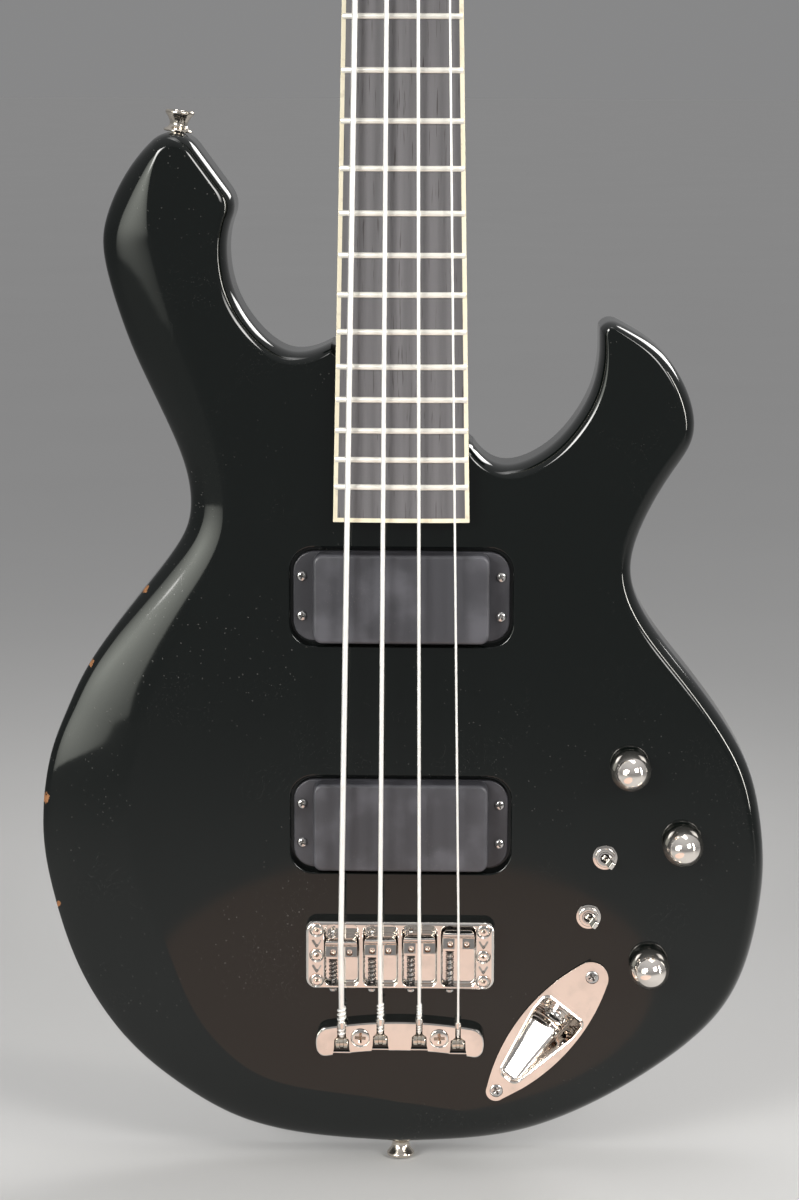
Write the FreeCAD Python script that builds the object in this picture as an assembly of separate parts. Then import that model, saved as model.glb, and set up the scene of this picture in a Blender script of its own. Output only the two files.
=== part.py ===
import FreeCAD, Part
import math
import os

# Four-string electric bass, upright. X runs to the treble side, Y to the back, Z up the neck.
# The origin is the seat of the tail strap button, on the centre line at half the body's thickness.
# All sizes are millimetres. "Height" is measured forwards from the body's front face.

# Scale, frets and fretboard
SCALE_LENGTH = 863.6
FRET_COUNT = 24
SADDLE_LINE_Z = 109.5
BOARD_TAIL = 16.6
BOARD_END_WIDTH = 63.7
NUT_WIDTH = 40.5
BOARD_THICKNESS = 6.0
BOARD_RADIUS = 305.0
BINDING = 2.0
FRET_WIDTH = 2.7
FRET_HEIGHT = 1.2
FRET_CREST = 0.7
FRET_END_INSET = 0.6
NUT_LENGTH = 5.0
NUT_LIP = 1.0

# Body
BODY_THICKNESS = 42.0
EDGE_DEPTH = 12.0
BACK_EDGE = 8.0
SLOPE_CREASE = 0.75
TREBLE_ROLL = 7.0
ARM_ROLL = 46.0

# Neck and headstock
NECK_RISE = 3.3
POCKET_DEPTH = 16.0
POCKET_CLEARANCE = 0.15
POCKET_OVERRUN = 60.0
HEEL_TOP_Z = 397.0
HEEL_BLEND = 34.0
SHAFT_DEPTH = 16.0
SHAFT_SIDE = 2.5
SHAFT_TAPER = 1.5
HEADSTOCK_LENGTH = 178.0
HEADSTOCK_THICKNESS = 15.0
HEADSTOCK_DROP = 4.0
HEADSTOCK_WIDTH = 84.0
TRUSS_ROD_RADIUS = 3.0
TRUSS_ROD_LENGTH = 520.0
TRUSS_POCKET_LENGTH = 26.0
TRUSS_POCKET_WIDTH = 10.0
TRUSS_ROD_SINK = 1.2
TRUSS_COVER_THICKNESS = 1.6
TRUSS_COVER_MARGIN = 7.6
TRUSS_SCREW_X = 6.0
RAMP_LENGTH = 9.0
VOLUTE_LENGTH = 28.0

# Strings, thickest first
STRING_NAMES = ("e", "a", "d", "g")
STRING_DIAMETERS = (2.67, 2.16, 1.65, 1.14)
STRING_PITCH = 18.65
NUT_STRING_PITCH = 10.1
NUT_ACTION = 0.6
RIDGE_HEIGHT = 14.0
WIND_GAP = 0.55
WIND_TURNS = 2

# Pickups
PICKUP_WIDTH = 83.0
PICKUP_LENGTH = 43.0
PICKUP_HEIGHT = 7.5
PICKUP_CORNER = 4.0
PICKUP_EDGE = 1.5
PICKUP_WALL = 2.5
PICKUP_DEPTH = 14.0
EAR_SPAN = 102.6
EAR_THICKNESS = 3.0
EAR_RECESS = 2.5
EAR_CORNER = 10.0
EAR_SCREW_X = 47.1
EAR_SCREW_Z = 9.5
ROUT_GAP = 1.3
ROUT_DEPTH = 24.0
NECK_PICKUP_DROP = 36.9
BRIDGE_PICKUP_RISE = 52.2
COIL_HEIGHT = 10.0
COIL_THICKNESS = 8.0
MAGNET_WIDTH = 6.0

# Bridge
TRAY_WIDTH = 90.6
TRAY_BELOW = 27.1
TRAY_LENGTH = 33.6
TRAY_HEIGHT = 7.5
TRAY_FLOOR = 2.2
TRAY_CORNER = 4.5
TRAY_EDGE = 1.4
TRAY_WALL = 1.8
POCKET_RIB = 2.3
TRAY_POCKET_CORNER = 3.0
SLOT_WIDTH = 2.0
SLOT_LENGTH = 9.0
SLOT_DEPTH = 0.9
SLOT_INSET = 1.2
TRAY_SCREW_X = 39.9
TRAY_SCREW_PITCH = 12.4
SADDLE_SETBACKS = (2.5, 1.5, 0.5, -2.0)
SADDLE_SIDE_GAP = 0.5
CARRIAGE_LENGTH = 11.5
CARRIAGE_CORNER = 2.2
CARRIAGE_TOP = 6.6
CARRIAGE_LIFT = 0.3
SADDLE_FRONT = 1.5
SADDLE_BLOCK_LENGTH = 9.4
SADDLE_STEP = 3.6
SADDLE_STEP_HEIGHT = 10.4
SADDLE_GAP = 1.0
HEIGHT_SCREW_X = 3.6
HEIGHT_SCREW_BACK = 5.9
HEIGHT_SCREW_RADIUS = 1.4
INTONATION_X = 4.2
INTONATION_HEIGHT = 4.6
INTONATION_RADIUS = 1.2
INTONATION_LENGTH = 29.0
INTONATION_HEAD = 2.1
INTONATION_HEAD_HEIGHT = 1.8
SPRING_RADIUS = 1.8
SPRING_WIRE = 0.6
SPRING_TURNS = 5

# Tailpiece
TAIL_Z = 59.0
TAIL_WIDTH = 77.0
TAIL_LENGTH = 14.8
TAIL_ARCH = 3.7
TAIL_HEIGHT = 7.0
TAIL_END_BULGE = 2.2
TAIL_CORNER = 3.6
TAIL_EDGE = 1.0
TAIL_SLOT_DEPTH = 6.0
TAIL_FLARE = 2.0
TAIL_BALL_LENGTH = 8.4
TAIL_SLOT_EASE = 1.3
TAIL_SCREW_X = 19.0
BALL_RADIUS = 3.0
BALL_LENGTH = 6.0
BALL_EASE = 0.4

# Knobs, potentiometers and toggle switches
KNOB_PLACES = ((109.0, 190.5), (134.3, 154.0), (119.3, 93.6))
KNOB_NAMES = ("upper", "middle", "lower")
KNOB_RADIUS = 9.3
KNOB_FOOT_RADIUS = 7.9
KNOB_SIDE = 11.0
KNOB_HEIGHT = 18.0
KNOB_LIFT = 0.5
KNOB_DOME_ANGLES = (0, 25, 48, 66, 82)
POT_SHAFT_RADIUS = 3.0
POT_BUSH_RADIUS = 3.6
POT_RADIUS = 8.5
POT_DEPTH = 9.0
POT_NUT_RADIUS = 5.4
POT_NUT_HEIGHT = 2.0
TOGGLE_PLACES = ((97.6, 146.7), (90.1, 117.5))
TOGGLE_NAMES = ("upper", "lower")
TOGGLE_NUT_RADIUS = 6.0
TOGGLE_NUT_HEIGHT = 2.0
TOGGLE_BUSH_RADIUS = 3.1
TOGGLE_BUSH_BORE = 2.3
TOGGLE_LEAN = 20.0
TOGGLE_HEADING = -32.0
TOGGLE_LEVER = 10.5
TOGGLE_BAT_WIDTH = 3.2
TOGGLE_BAT_THICKNESS = 1.8
TOGGLE_BARREL_RADIUS = 1.8
TOGGLE_BARREL_HALF = 1.3
RUNNING_GAP = 0.08
SCREW_GAP = 0.05

# Flat sides that stand for small round forms
SCREW_SIDES = 8
ROUND_SIDES = 12
KNOB_SIDES = 24
STRING_SIDES = 5
SPRING_SIDES = 6

# Control cavity behind the knobs, cut from the back
CAVITY_CORNERS = ((79, 79), (136, 79), (153, 138), (153, 166), (127, 208), (93, 208), (79, 162))
CAVITY_CORNER_RADIUS = 9.0
FRONT_WALL = 8.0
COVER_THICKNESS = 2.5
COVER_LEDGE = 7.0
COVER_GAP = 0.3

# Boat-shaped jack plate
JACK_LOWER_SCREW = (46.6, 30.4)
JACK_UPPER_SCREW = (92.2, 87.6)
JACK_PLATE = 1.3
JACK_HALF_WIDTH = 14.3
JACK_LOWER_END = 5.2
JACK_UPPER_END = 8.2
JACK_SLOPE = 28.0
CUP_START = 9.0
CUP_END = 52.4
CUP_HALF_WIDTH = 11.8
CUP_TOE = 3.6
CUP_WALL = 1.2
JACK_RADIUS = 5.0
JACK_CASE_RADIUS = 7.0
JACK_CASE_LENGTH = 27.0
JACK_BORE = 3.25
JACK_THREAD_LENGTH = 4.2
JACK_NUT_RADIUS = 6.9
JACK_NUT_HEIGHT = 2.0

# Strap buttons
HORN_SEAT = ((-99.5, 487.5), (-111.5, 488.9))
BUTTON_RADIUS = 6.8
BUTTON_NECK = 4.2
BUTTON_HEIGHT = 10.0
BUTTON_SCREW_RADIUS = 2.2
BUTTON_SCREW_LENGTH = 26.0

# Tuners
POST_PLACES = ((25.0, 58.0), (20.0, 126.0))
POST_RADIUS = 4.5
POST_CAP_RADIUS = 6.0
POST_HEIGHT = 17.0
SPOOL_TOP = 11.5
SPOOL_FOOT = 1.8
BUSH_RADIUS = 8.5
BUSH_HEIGHT = 1.2
BUSH_DEPTH = 10.0
TUNER_CASE_WIDTH = 22.0
TUNER_CASE_LENGTH = 27.0
TUNER_CASE_DEPTH = 13.0
KEY_SHAFT_RADIUS = 2.6
KEY_SHAFT_LENGTH = 22.0
KEY_WIDTH = 25.0
KEY_DEPTH = 18.0
KEY_THICKNESS = 7.0
KEY_OFFSET = 6.0

# Fasteners
NECK_SCREW_RADIUS = 2.4
NECK_SCREW_LENGTH = 38.0
FERRULE_RADIUS = 6.5
FERRULE_DEPTH = 5.0
FERRULE_SINK = 0.6
NECK_SCREW_HEAD = 4.4
NECK_SCREW_X = 19.0
NECK_SCREW_LOW = 13.0
NECK_SCREW_HIGH = 36.0
SMALL_HEAD = 2.6
SMALL_SCREW = 1.3
COVER_SCREW_LENGTH = 12.0
TRUSS_SCREW_LENGTH = 10.0
EAR_SCREW_LENGTH = 16.0
TUNER_SCREW_LENGTH = 11.0
TRAY_SCREW_HEAD = 3.0
TRAY_SCREW = 1.6
TRAY_SCREW_LENGTH = 24.0
TAIL_SCREW_HEAD = 4.3
TAIL_SCREW = 2.2
TAIL_SCREW_LENGTH = 30.0
JACK_SCREW_HEAD = 3.1
JACK_SCREW = 1.7
JACK_SCREW_LENGTH = 12.0

FRONT = -BODY_THICKNESS / 2
BACK = BODY_THICKNESS / 2
NUT_Z = SADDLE_LINE_Z + SCALE_LENGTH
LAST_FRET_Z = SADDLE_LINE_Z + SCALE_LENGTH * 2 ** (-FRET_COUNT / 12)
BOARD_END_Z = LAST_FRET_Z - BOARD_TAIL
FORWARD = FreeCAD.Vector(0, -1, 0)
BACKWARD = FreeCAD.Vector(0, 1, 0)
UPWARD = FreeCAD.Vector(0, 0, 1)
Vec = FreeCAD.Vector


def front_y(height):
    """Y of a height in front of the body's front face."""
    return FRONT - height


BOARD_BACK_Y = front_y(NECK_RISE)
BOARD_TOP_Y = BOARD_BACK_Y - BOARD_THICKNESS
FRET_TOP_Y = BOARD_TOP_Y - FRET_HEIGHT
HEADSTOCK_FRONT_Y = BOARD_BACK_Y + HEADSTOCK_DROP
HEADSTOCK_BACK_Y = HEADSTOCK_FRONT_Y + HEADSTOCK_THICKNESS


def fret_z(number):
    """Height along the neck of a fret."""
    return SADDLE_LINE_Z + SCALE_LENGTH * 2 ** (-number / 12)


def board_half_width(z):
    """Half of the bound fretboard's width at z."""
    share = (z - BOARD_END_Z) / (NUT_Z - BOARD_END_Z)
    return (BOARD_END_WIDTH + (NUT_WIDTH - BOARD_END_WIDTH) * share) / 2


def string_x(index, pitch):
    """Sideways place of a string for a spacing between strings."""
    return (index - 1.5) * pitch


def block(x0, x1, y0, y1, z0, z1):
    """Box between two corners."""
    return Part.makeBox(x1 - x0, y1 - y0, z1 - z0, Vec(x0, y0, z0))


def rod(start, direction, radius, length):
    """Cylinder from a point along a direction."""
    return Part.makeCylinder(radius, length, start, direction)


def ring_points(radius, height, sides):
    """Corners of a polygon round the Z axis."""
    turn = 2 * math.pi / sides
    return [Vec(radius * math.cos(turn * i), radius * math.sin(turn * i), height) for i in range(sides)]


def closed(points):
    """Closed polygon through the points."""
    return Part.makePolygon(points + points[:1])


def turned(steps, base, direction, sides):
    """Turned piece with flat sides: pairs of radius and height, stacked from base along a direction."""
    rings = [ring_points(radius, height, sides) for radius, height in steps]
    faces = [Part.Face(closed(rings[0])), Part.Face(closed(rings[-1]))]
    for i in range(len(steps) - 1):
        if steps[i + 1][1] == steps[i][1]:
            wide, narrow = (i, i + 1) if steps[i][0] > steps[i + 1][0] else (i + 1, i)
            faces.append(Part.Face(closed(rings[wide])).cut(Part.Face(closed(rings[narrow]))).Faces[0])
            continue
        for j in range(sides):
            k = (j + 1) % sides
            faces.append(Part.Face(closed([rings[i][j], rings[i][k], rings[i + 1][k], rings[i + 1][j]])))
    shell = Part.Shell(faces)
    shell.sewShape()
    solid = Part.Solid(shell)
    if solid.Volume < 0:
        solid.reverse()
    solid.Placement = FreeCAD.Placement(base, FreeCAD.Rotation(UPWARD, direction))
    return solid


def bar(start, direction, radius, length, sides):
    """Straight bar with flat sides from a point along a direction."""
    return turned([(radius, 0), (radius, length)], start, direction, sides)


def clear_bar(start, direction, radius, length, sides):
    """Flat-sided hole that a round shaft of this radius still passes."""
    return bar(start, direction, radius / math.cos(math.pi / sides), length, sides)


def prism(points, y0, y1):
    """Flat polygon in X and Z, given depth from y0 to y1."""
    corners = [Vec(x, y0, z) for x, z in points]
    face = Part.Face(Part.makePolygon(corners + corners[:1]))
    return face.extrude(Vec(0, y1 - y0, 0))


def upright_edges(solid):
    """Straight edges that run from front to back."""
    found = []
    for edge in solid.Edges:
        ends = edge.Vertexes
        if len(ends) == 2 and isinstance(edge.Curve, Part.Line):
            run = ends[1].Point - ends[0].Point
            if abs(run.x) + abs(run.z) < 1e-6:
                found.append(edge)
    return found


def edges_at_y(solid, y):
    """Edges that lie wholly in the plane at y."""
    found = []
    for edge in solid.Edges:
        if all(abs(vertex.Point.y - y) < 1e-6 for vertex in edge.Vertexes):
            bounds = edge.BoundBox
            if bounds.YLength < 1e-4:
                found.append(edge)
    return found


def rounded_block(x, z, width, length, radius, y0, y1):
    """Block with rounded upright corners, centred on x and z."""
    half_w = width / 2
    half_l = length / 2
    solid = block(x - half_w, x + half_w, y0, y1, z - half_l, z + half_l)
    return solid.makeFillet(radius, upright_edges(solid))





def hex_nut(base, direction, radius, height, bore):
    """Six-sided nut with a hole, radius over the corners."""
    hole = clear_bar(base, direction, bore, height, ROUND_SIDES)
    return bar(base, direction, radius, height, 6).cut(hole)


def flat_screw(seat, inward, head_radius, radius, length):
    """Countersunk screw whose flat top lies at seat, and the hole it leaves in what it enters."""
    head_depth = head_radius - radius
    solid = turned([(head_radius, 0), (radius, head_depth), (radius, length)], seat, inward, SCREW_SIDES)
    wide = head_radius + SCREW_GAP
    narrow = radius + SCREW_GAP
    steps = [(wide, 0), (narrow, head_depth), (narrow, length + SCREW_GAP)]
    return solid, turned(steps, seat, inward, SCREW_SIDES)


def pan_screw(seat, inward, head_radius, head_height, radius, length):
    """Screw whose domed head stands on the seat, and the hole below it."""
    steps = [(head_radius * 0.65, 0), (head_radius, head_height * 0.6), (head_radius, head_height),
             (radius, head_height), (radius, head_height + length)]
    solid = turned(steps, seat - inward * head_height, inward, SCREW_SIDES)
    return solid, bar(seat, inward, radius + SCREW_GAP, length + SCREW_GAP, SCREW_SIDES)


def group(solids):
    """Several separate solids in one node."""
    return Part.makeCompound(solids)


def arc_from_tangent(start, tangent, end):
    """Arc that leaves start along tangent and reaches end."""
    chord = end - start
    along = Vec(chord).normalize()
    side = tangent - along * tangent.dot(along)
    if side.Length < 1e-6:
        return Part.LineSegment(start, end).toShape()
    half_turn = math.acos(max(-1.0, min(1.0, Vec(tangent).normalize().dot(along))))
    middle = start + chord * 0.5 + side.normalize() * (chord.Length / 2 * math.tan(half_turn / 2))
    return Part.Arc(start, middle, end).toShape()


def biarc(start, tangent_1, end, tangent_2):
    """Two arcs that join two points along their tangents."""
    across = end - start
    both = tangent_1 + tangent_2
    spread = 2 * (1 - tangent_1.dot(tangent_2))
    reach = across.dot(both)
    if spread < 1e-9:
        size = across.dot(across) / (2 * reach)
    else:
        size = (-reach + math.sqrt(reach * reach + spread * across.dot(across))) / spread
    joint = (start + end + (tangent_1 - tangent_2) * size) * 0.5
    first = arc_from_tangent(start, tangent_1, joint)
    turn = (joint - start - tangent_1 * size).normalize()
    return [first, arc_from_tangent(joint, turn, end)]


def tube(edges, radius, sides):
    """Wire with flat sides along joined edges."""
    path = Part.Wire(edges)
    start = edges[0].valueAt(edges[0].FirstParameter)
    tangent = edges[0].tangentAt(edges[0].FirstParameter)
    section = closed(ring_points(radius, 0, sides))
    section.Placement = FreeCAD.Placement(start, FreeCAD.Rotation(UPWARD, tangent))
    return path.makePipeShell([section], True, False)


def least_gap(points, diameter):
    """Least clear distance of a wound wire to itself, measured on points a step along it."""
    best = None
    for i in range(len(points)):
        walked = 0.0
        for j in range(i + 1, len(points)):
            walked += (points[j] - points[j - 1]).Length
            if walked > 2.5 * diameter:
                gap = (points[j] - points[i]).Length - diameter
                best = gap if best is None else min(best, gap)
    return best


# Body outline: corners joined by curves. Each station is X, Z and the width of the rounded front edge.
# The curves run from the bass side of the neck round the bass horn, the tail and the treble horn.
BASS_CHEEK = (-33.2, 391.5, 4.0)
HORN_BEAK = (-76.3, 456.0, 4.5)
HORN_INNER = (HORN_SEAT[0][0], HORN_SEAT[0][1], 3.5)
HORN_OUTER = (HORN_SEAT[1][0], HORN_SEAT[1][1], 3.5)
TAIL_SEAT = (0.0, 0.0, 24.0)
TREBLE_TIP = (95.0, 403.0, 2.8)
TREBLE_CHEEK = (33.2, 344.0, 4.0)
OUTLINE = (
    (BASS_CHEEK, (-42.5, 387.6, 5), (-53, 387.2, 6), (-64.8, 394.3, 6.5), (-77, 411, 6.5),
     (-81.6, 428, 6), (-81.3, 442, 5.5), HORN_BEAK),
    (HORN_BEAK, HORN_INNER),
    (HORN_INNER, HORN_OUTER),
    (HORN_OUTER, (-129.2, 469, 8), (-138, 450, 11), (-139.9, 433, 12), (-131.8, 401.4, 11),
     (-123.4, 380, 9), (-109.5, 350, 7), (-101.4, 327, 7), (-100.8, 308, 13), (-107, 294, 19),
     (-122.5, 273.3, 26), (-149, 237.3, 34), (-160, 215, 38), (-168.5, 192, 41), (-172.7, 155, 43),
     (-168.2, 124, 44), (-155.5, 85, ARM_ROLL), (-133.2, 50.4, 40), (-110.5, 30, 33),
     (-80, 12, 28), (-42, 2.9, 27), TAIL_SEAT),
    (TAIL_SEAT, (30, 1.9, 18), (58.4, 6.8, 12), (88, 18.5, 8), (120, 37.5, TREBLE_ROLL),
     (151, 64, TREBLE_ROLL), (166.6, 93, TREBLE_ROLL), (173.3, 127, TREBLE_ROLL),
     (173.8, 148, TREBLE_ROLL), (170.1, 174, TREBLE_ROLL), (161.5, 198, TREBLE_ROLL),
     (140.9, 228.8, TREBLE_ROLL), (124.8, 249, TREBLE_ROLL), (113.5, 266, TREBLE_ROLL),
     (108.2, 285, TREBLE_ROLL), (114.5, 308.4, TREBLE_ROLL), (126.8, 330.3, TREBLE_ROLL),
     (135.6, 345, 6.5), (136.6, 358, 6.5), (131, 374, 6), (120, 388.6, 5), (108, 397, 4),
     (99.5, 401.5, 3.2), TREBLE_TIP),
    (TREBLE_TIP, (92.3, 400.2, 3), (91.9, 388.9, 4.5), (89.4, 372.3, 6), (82, 357, 6.5), (68.5, 342, 6.5),
     (51, 334, 6), (40.5, 336.5, 5), TREBLE_CHEEK),
    (TREBLE_CHEEK, BASS_CHEEK),
)
EDGE_STEPS = (1.0, 0.85, 0.5, 0.0)
BACK_STEPS = (1.0, 0.7, 0.0)


def outline_curves():
    """The outline's curves with the inward direction at each of their stations."""
    curves = []
    for stations in OUTLINE:
        points = [Vec(x, 0, z) for x, z, roll in stations]
        knots = [0.0]
        for i in range(1, len(points)):
            knots.append(knots[-1] + (points[i] - points[i - 1]).Length)
        curve = Part.BSplineCurve()
        curve.interpolate(Points=points, Parameters=knots)
        inward = []
        for knot in knots:
            along = curve.tangent(knot)[0]
            inward.append(Vec(-along.z, 0, along.x).normalize())
        curves.append([stations, knots, inward])
    for i in range(len(curves)):
        before = curves[i - 1][2]
        after = curves[i][2]
        middle = (before[-1] + after[0]).normalize()
        stretch = 1 / max(0.6, middle.dot(after[0]))
        before[-1] = middle * stretch
        after[0] = middle * stretch
    return curves


def edge_wire(curves, step, face_y, depth, own_roll):
    """Closed wire of the body's edge at one step from the flat (0) to the wall (1)."""
    edges = []
    into = 1 if face_y < 0 else -1
    for stations, knots, inward in curves:
        points = []
        for (x, z, roll), direction in zip(stations, inward):
            if own_roll:
                crease = SLOPE_CREASE * max(0.0, roll - TREBLE_ROLL) / ARM_ROLL
                width = roll
            else:
                crease = 0.0
                width = min(roll, BACK_EDGE)
            fall = crease * step + (1 - crease) * (1 - math.sqrt(1 - step * step))
            place = Vec(x, face_y + into * depth * fall, z) + direction * (width * (1 - step))
            points.append(place)
        curve = Part.BSplineCurve()
        curve.interpolate(Points=points, Parameters=knots)
        edges.append(curve.toShape())
    return Part.Wire(edges)


def body_blank():
    """The carved blank: rounded front with the forearm slope, straight wall, rounded back."""
    curves = outline_curves()
    front = [edge_wire(curves, step, FRONT, EDGE_DEPTH, True) for step in reversed(EDGE_STEPS)]
    back = [edge_wire(curves, step, BACK, BACK_EDGE, False) for step in BACK_STEPS]
    return Part.makeLoft(front + back, True, True)


def tapered(z0, z1, inset, y0, y1):
    """Tapered slab that follows the fretboard's sides."""
    half_0 = board_half_width(z0) - inset
    half_1 = board_half_width(z1) - inset
    return prism(((-half_0, z0), (half_0, z0), (half_1, z1), (-half_1, z1)), y0, y1)


def board_crown():
    """Long round bar whose front is the fretboard's curved playing face."""
    start = Vec(0, BOARD_TOP_Y + BOARD_RADIUS, BOARD_END_Z - BOARD_TAIL)
    return rod(start, UPWARD, BOARD_RADIUS, NUT_Z - BOARD_END_Z + 2 * BOARD_TAIL)


def fretboard_parts():
    """The board and the pale strip bound round its sides and end."""
    crown = board_crown()
    outer = tapered(BOARD_END_Z, NUT_Z, 0, BOARD_TOP_Y, BOARD_BACK_Y)
    inner = tapered(BOARD_END_Z + BINDING, NUT_Z, BINDING, BOARD_TOP_Y, BOARD_BACK_Y)
    board = inner.common(crown)
    binding = outer.cut(inner).common(crown)
    return board, binding


def frets():
    """Crowned wire across the board at each fret."""
    half = FRET_WIDTH / 2
    centre = Vec(0, BOARD_TOP_Y + BOARD_RADIUS, 0)
    solids = []
    for number in range(1, FRET_COUNT + 1):
        z = fret_z(number)
        profile = ((half, 0), (FRET_CREST, FRET_HEIGHT), (-FRET_CREST, FRET_HEIGHT), (-half, 0))
        points = [Vec(0, BOARD_TOP_Y - rise, z + across) for across, rise in profile]
        face = Part.Face(Part.makePolygon(points + points[:1]))
        sweep = 2 * math.degrees(math.asin((board_half_width(z) - FRET_END_INSET) / BOARD_RADIUS))
        fret = face.revolve(centre, UPWARD, sweep)
        fret.rotate(centre, UPWARD, -sweep / 2)
        solids.append(fret)
    return group(solids)


def wedge(z0, depth_0, z1, depth_1):
    """Tapered block behind the fretboard whose back slopes from one depth to another."""
    deepest = BOARD_BACK_Y + max(depth_0, depth_1)
    slab = tapered(z0, z1, 0, BOARD_BACK_Y, deepest)
    slope = ((z0, BOARD_BACK_Y), (z1, BOARD_BACK_Y),
             (z1, BOARD_BACK_Y + depth_1), (z0, BOARD_BACK_Y + depth_0))
    return slab.common(prism_side(slope, BOARD_END_WIDTH))


def shaft_circle(z, depth):
    """Centre's Y and radius of the circle that rounds the shaft's back at z."""
    half = board_half_width(z)
    bulge = depth - SHAFT_SIDE
    radius = (half * half + bulge * bulge) / (2 * bulge)
    return BOARD_BACK_Y + depth - radius, radius


def neck_shaft(z0, z1):
    """Tapered shaft whose back is part of one long cone."""
    y_0, radius_0 = shaft_circle(z0, SHAFT_DEPTH)
    y_1, radius_1 = shaft_circle(z1, SHAFT_DEPTH - SHAFT_TAPER)
    run = Vec(0, y_1 - y_0, z1 - z0)
    over = 0.05
    start = Vec(0, y_0, z0) - run * over
    slope = (radius_1 - radius_0) * over
    back = Part.makeCone(radius_0 - slope, radius_1 + slope, run.Length * (1 + 2 * over), start, run)
    return tapered(z0, z1, 0, BOARD_BACK_Y, BOARD_BACK_Y + SHAFT_DEPTH + 1).common(back)


def headstock_outline():
    """Symmetric spade outline of the headstock, from the nut up."""
    half = HEADSTOCK_WIDTH / 2
    root = NUT_WIDTH / 2
    top = NUT_Z + HEADSTOCK_LENGTH
    stations = ((root, 0), (root + 1.5, 0.07), (half - 9, 0.18), (half, 0.29),
                (half - 5, 0.56), (half - 9, 0.79), (half - 12, 0.955))
    right = [Vec(x, 0, NUT_Z + HEADSTOCK_LENGTH * share) for x, share in stations]
    left = [Vec(-point.x, 0, point.z) for point in reversed(right)]
    side = Part.BSplineCurve()
    side.interpolate(right)
    other = Part.BSplineCurve()
    other.interpolate(left)
    crest = Part.Arc(right[-1], Vec(0, 0, top), left[0]).toShape()
    foot = Part.LineSegment(left[-1], right[0]).toShape()
    return Part.Wire([side.toShape(), crest, other.toShape(), foot])


def neck():
    """Heel, shaft and headstock in one piece of wood, before its holes."""
    heel_depth = NECK_RISE + POCKET_DEPTH
    heel = tapered(BOARD_END_Z, HEEL_TOP_Z, 0, BOARD_BACK_Y, BOARD_BACK_Y + heel_depth)
    scoop = wedge(HEEL_TOP_Z, heel_depth, HEEL_TOP_Z + HEEL_BLEND, SHAFT_SIDE)
    shaft = neck_shaft(HEEL_TOP_Z, NUT_Z)
    volute = wedge(NUT_Z - VOLUTE_LENGTH, SHAFT_SIDE, NUT_Z, HEADSTOCK_DROP + HEADSTOCK_THICKNESS)
    brow_z = NUT_Z + NUT_LENGTH
    ledge = block(-NUT_WIDTH / 2, NUT_WIDTH / 2, BOARD_BACK_Y, HEADSTOCK_BACK_Y - 2, NUT_Z, brow_z)
    brow = ((brow_z, BOARD_BACK_Y), (brow_z + RAMP_LENGTH, HEADSTOCK_FRONT_Y), (brow_z, HEADSTOCK_FRONT_Y))
    ramp = prism_side(brow, NUT_WIDTH / 2)
    head = Part.Face(headstock_outline()).extrude(Vec(0, HEADSTOCK_THICKNESS, 0))
    head.translate(Vec(0, HEADSTOCK_FRONT_Y, 0))
    return heel.fuse([scoop, shaft, volute, ledge, ramp, head])


def prism_side(points, half):
    """Polygon in Z and Y, made as wide as twice half."""
    corners = [Vec(-half, y, z) for z, y in points]
    face = Part.Face(Part.makePolygon(corners + corners[:1]))
    return face.extrude(Vec(2 * half, 0, 0))


def post_place(index):
    """Centre of a tuner's post on the headstock, and which way its key points."""
    side = -1 if index < 2 else 1
    x, rise = POST_PLACES[0] if index in (0, 3) else POST_PLACES[1]
    return Vec(side * x, HEADSTOCK_FRONT_Y, NUT_Z + rise), side


def saddle_z(index):
    """Where the string breaks over a saddle's ridge."""
    return SADDLE_LINE_Z - SADDLE_SETBACKS[index]


TRAY_LOW_Z = SADDLE_LINE_Z - TRAY_BELOW
TRAY_HIGH_Z = TRAY_LOW_Z + TRAY_LENGTH
TRAY_MID_Z = (TRAY_LOW_Z + TRAY_HIGH_Z) / 2
POCKET_WIDTH = STRING_PITCH - POCKET_RIB


def bridge_tray():
    """Cast tray with a channel for each saddle, and the holes for its six screws."""
    top = front_y(TRAY_HEIGHT)
    tray = rounded_block(0, TRAY_MID_Z, TRAY_WIDTH, TRAY_LENGTH, TRAY_CORNER, top, FRONT)
    tray = tray.makeChamfer(TRAY_EDGE, edges_at_y(tray, top))
    floor = front_y(TRAY_FLOOR)
    length = TRAY_LENGTH - 2 * TRAY_WALL
    for index in range(4):
        x = string_x(index, STRING_PITCH)
        pocket = rounded_block(x, TRAY_MID_Z, POCKET_WIDTH, length, TRAY_POCKET_CORNER, top - 1, floor)
        hole = Vec(x - INTONATION_X, front_y(INTONATION_HEIGHT), TRAY_LOW_Z - 1)
        bore = clear_bar(hole, UPWARD, INTONATION_RADIUS + RUNNING_GAP, TRAY_WALL + 2, ROUND_SIDES)
        slot_x = x - INTONATION_X
        slot_z = TRAY_HIGH_Z - TRAY_WALL - SLOT_INSET
        slot = block(slot_x - SLOT_WIDTH / 2, slot_x + SLOT_WIDTH / 2, floor - 1, floor + SLOT_DEPTH,
                     slot_z - SLOT_LENGTH, slot_z)
        tray = tray.cut([pocket, bore, slot])
    for side in (-1, 1):
        for step in (-0.5, 0.5):
            z = TRAY_MID_Z + step * TRAY_SCREW_PITCH
            x = side * TRAY_SCREW_X
            nook = ((x - 2.6, z + 1.2), (x, z - 2.8), (x + 2.6, z + 1.2))
            tray = tray.cut(prism(nook, top - 1, front_y(TRAY_HEIGHT - 3)))
    return tray


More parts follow.
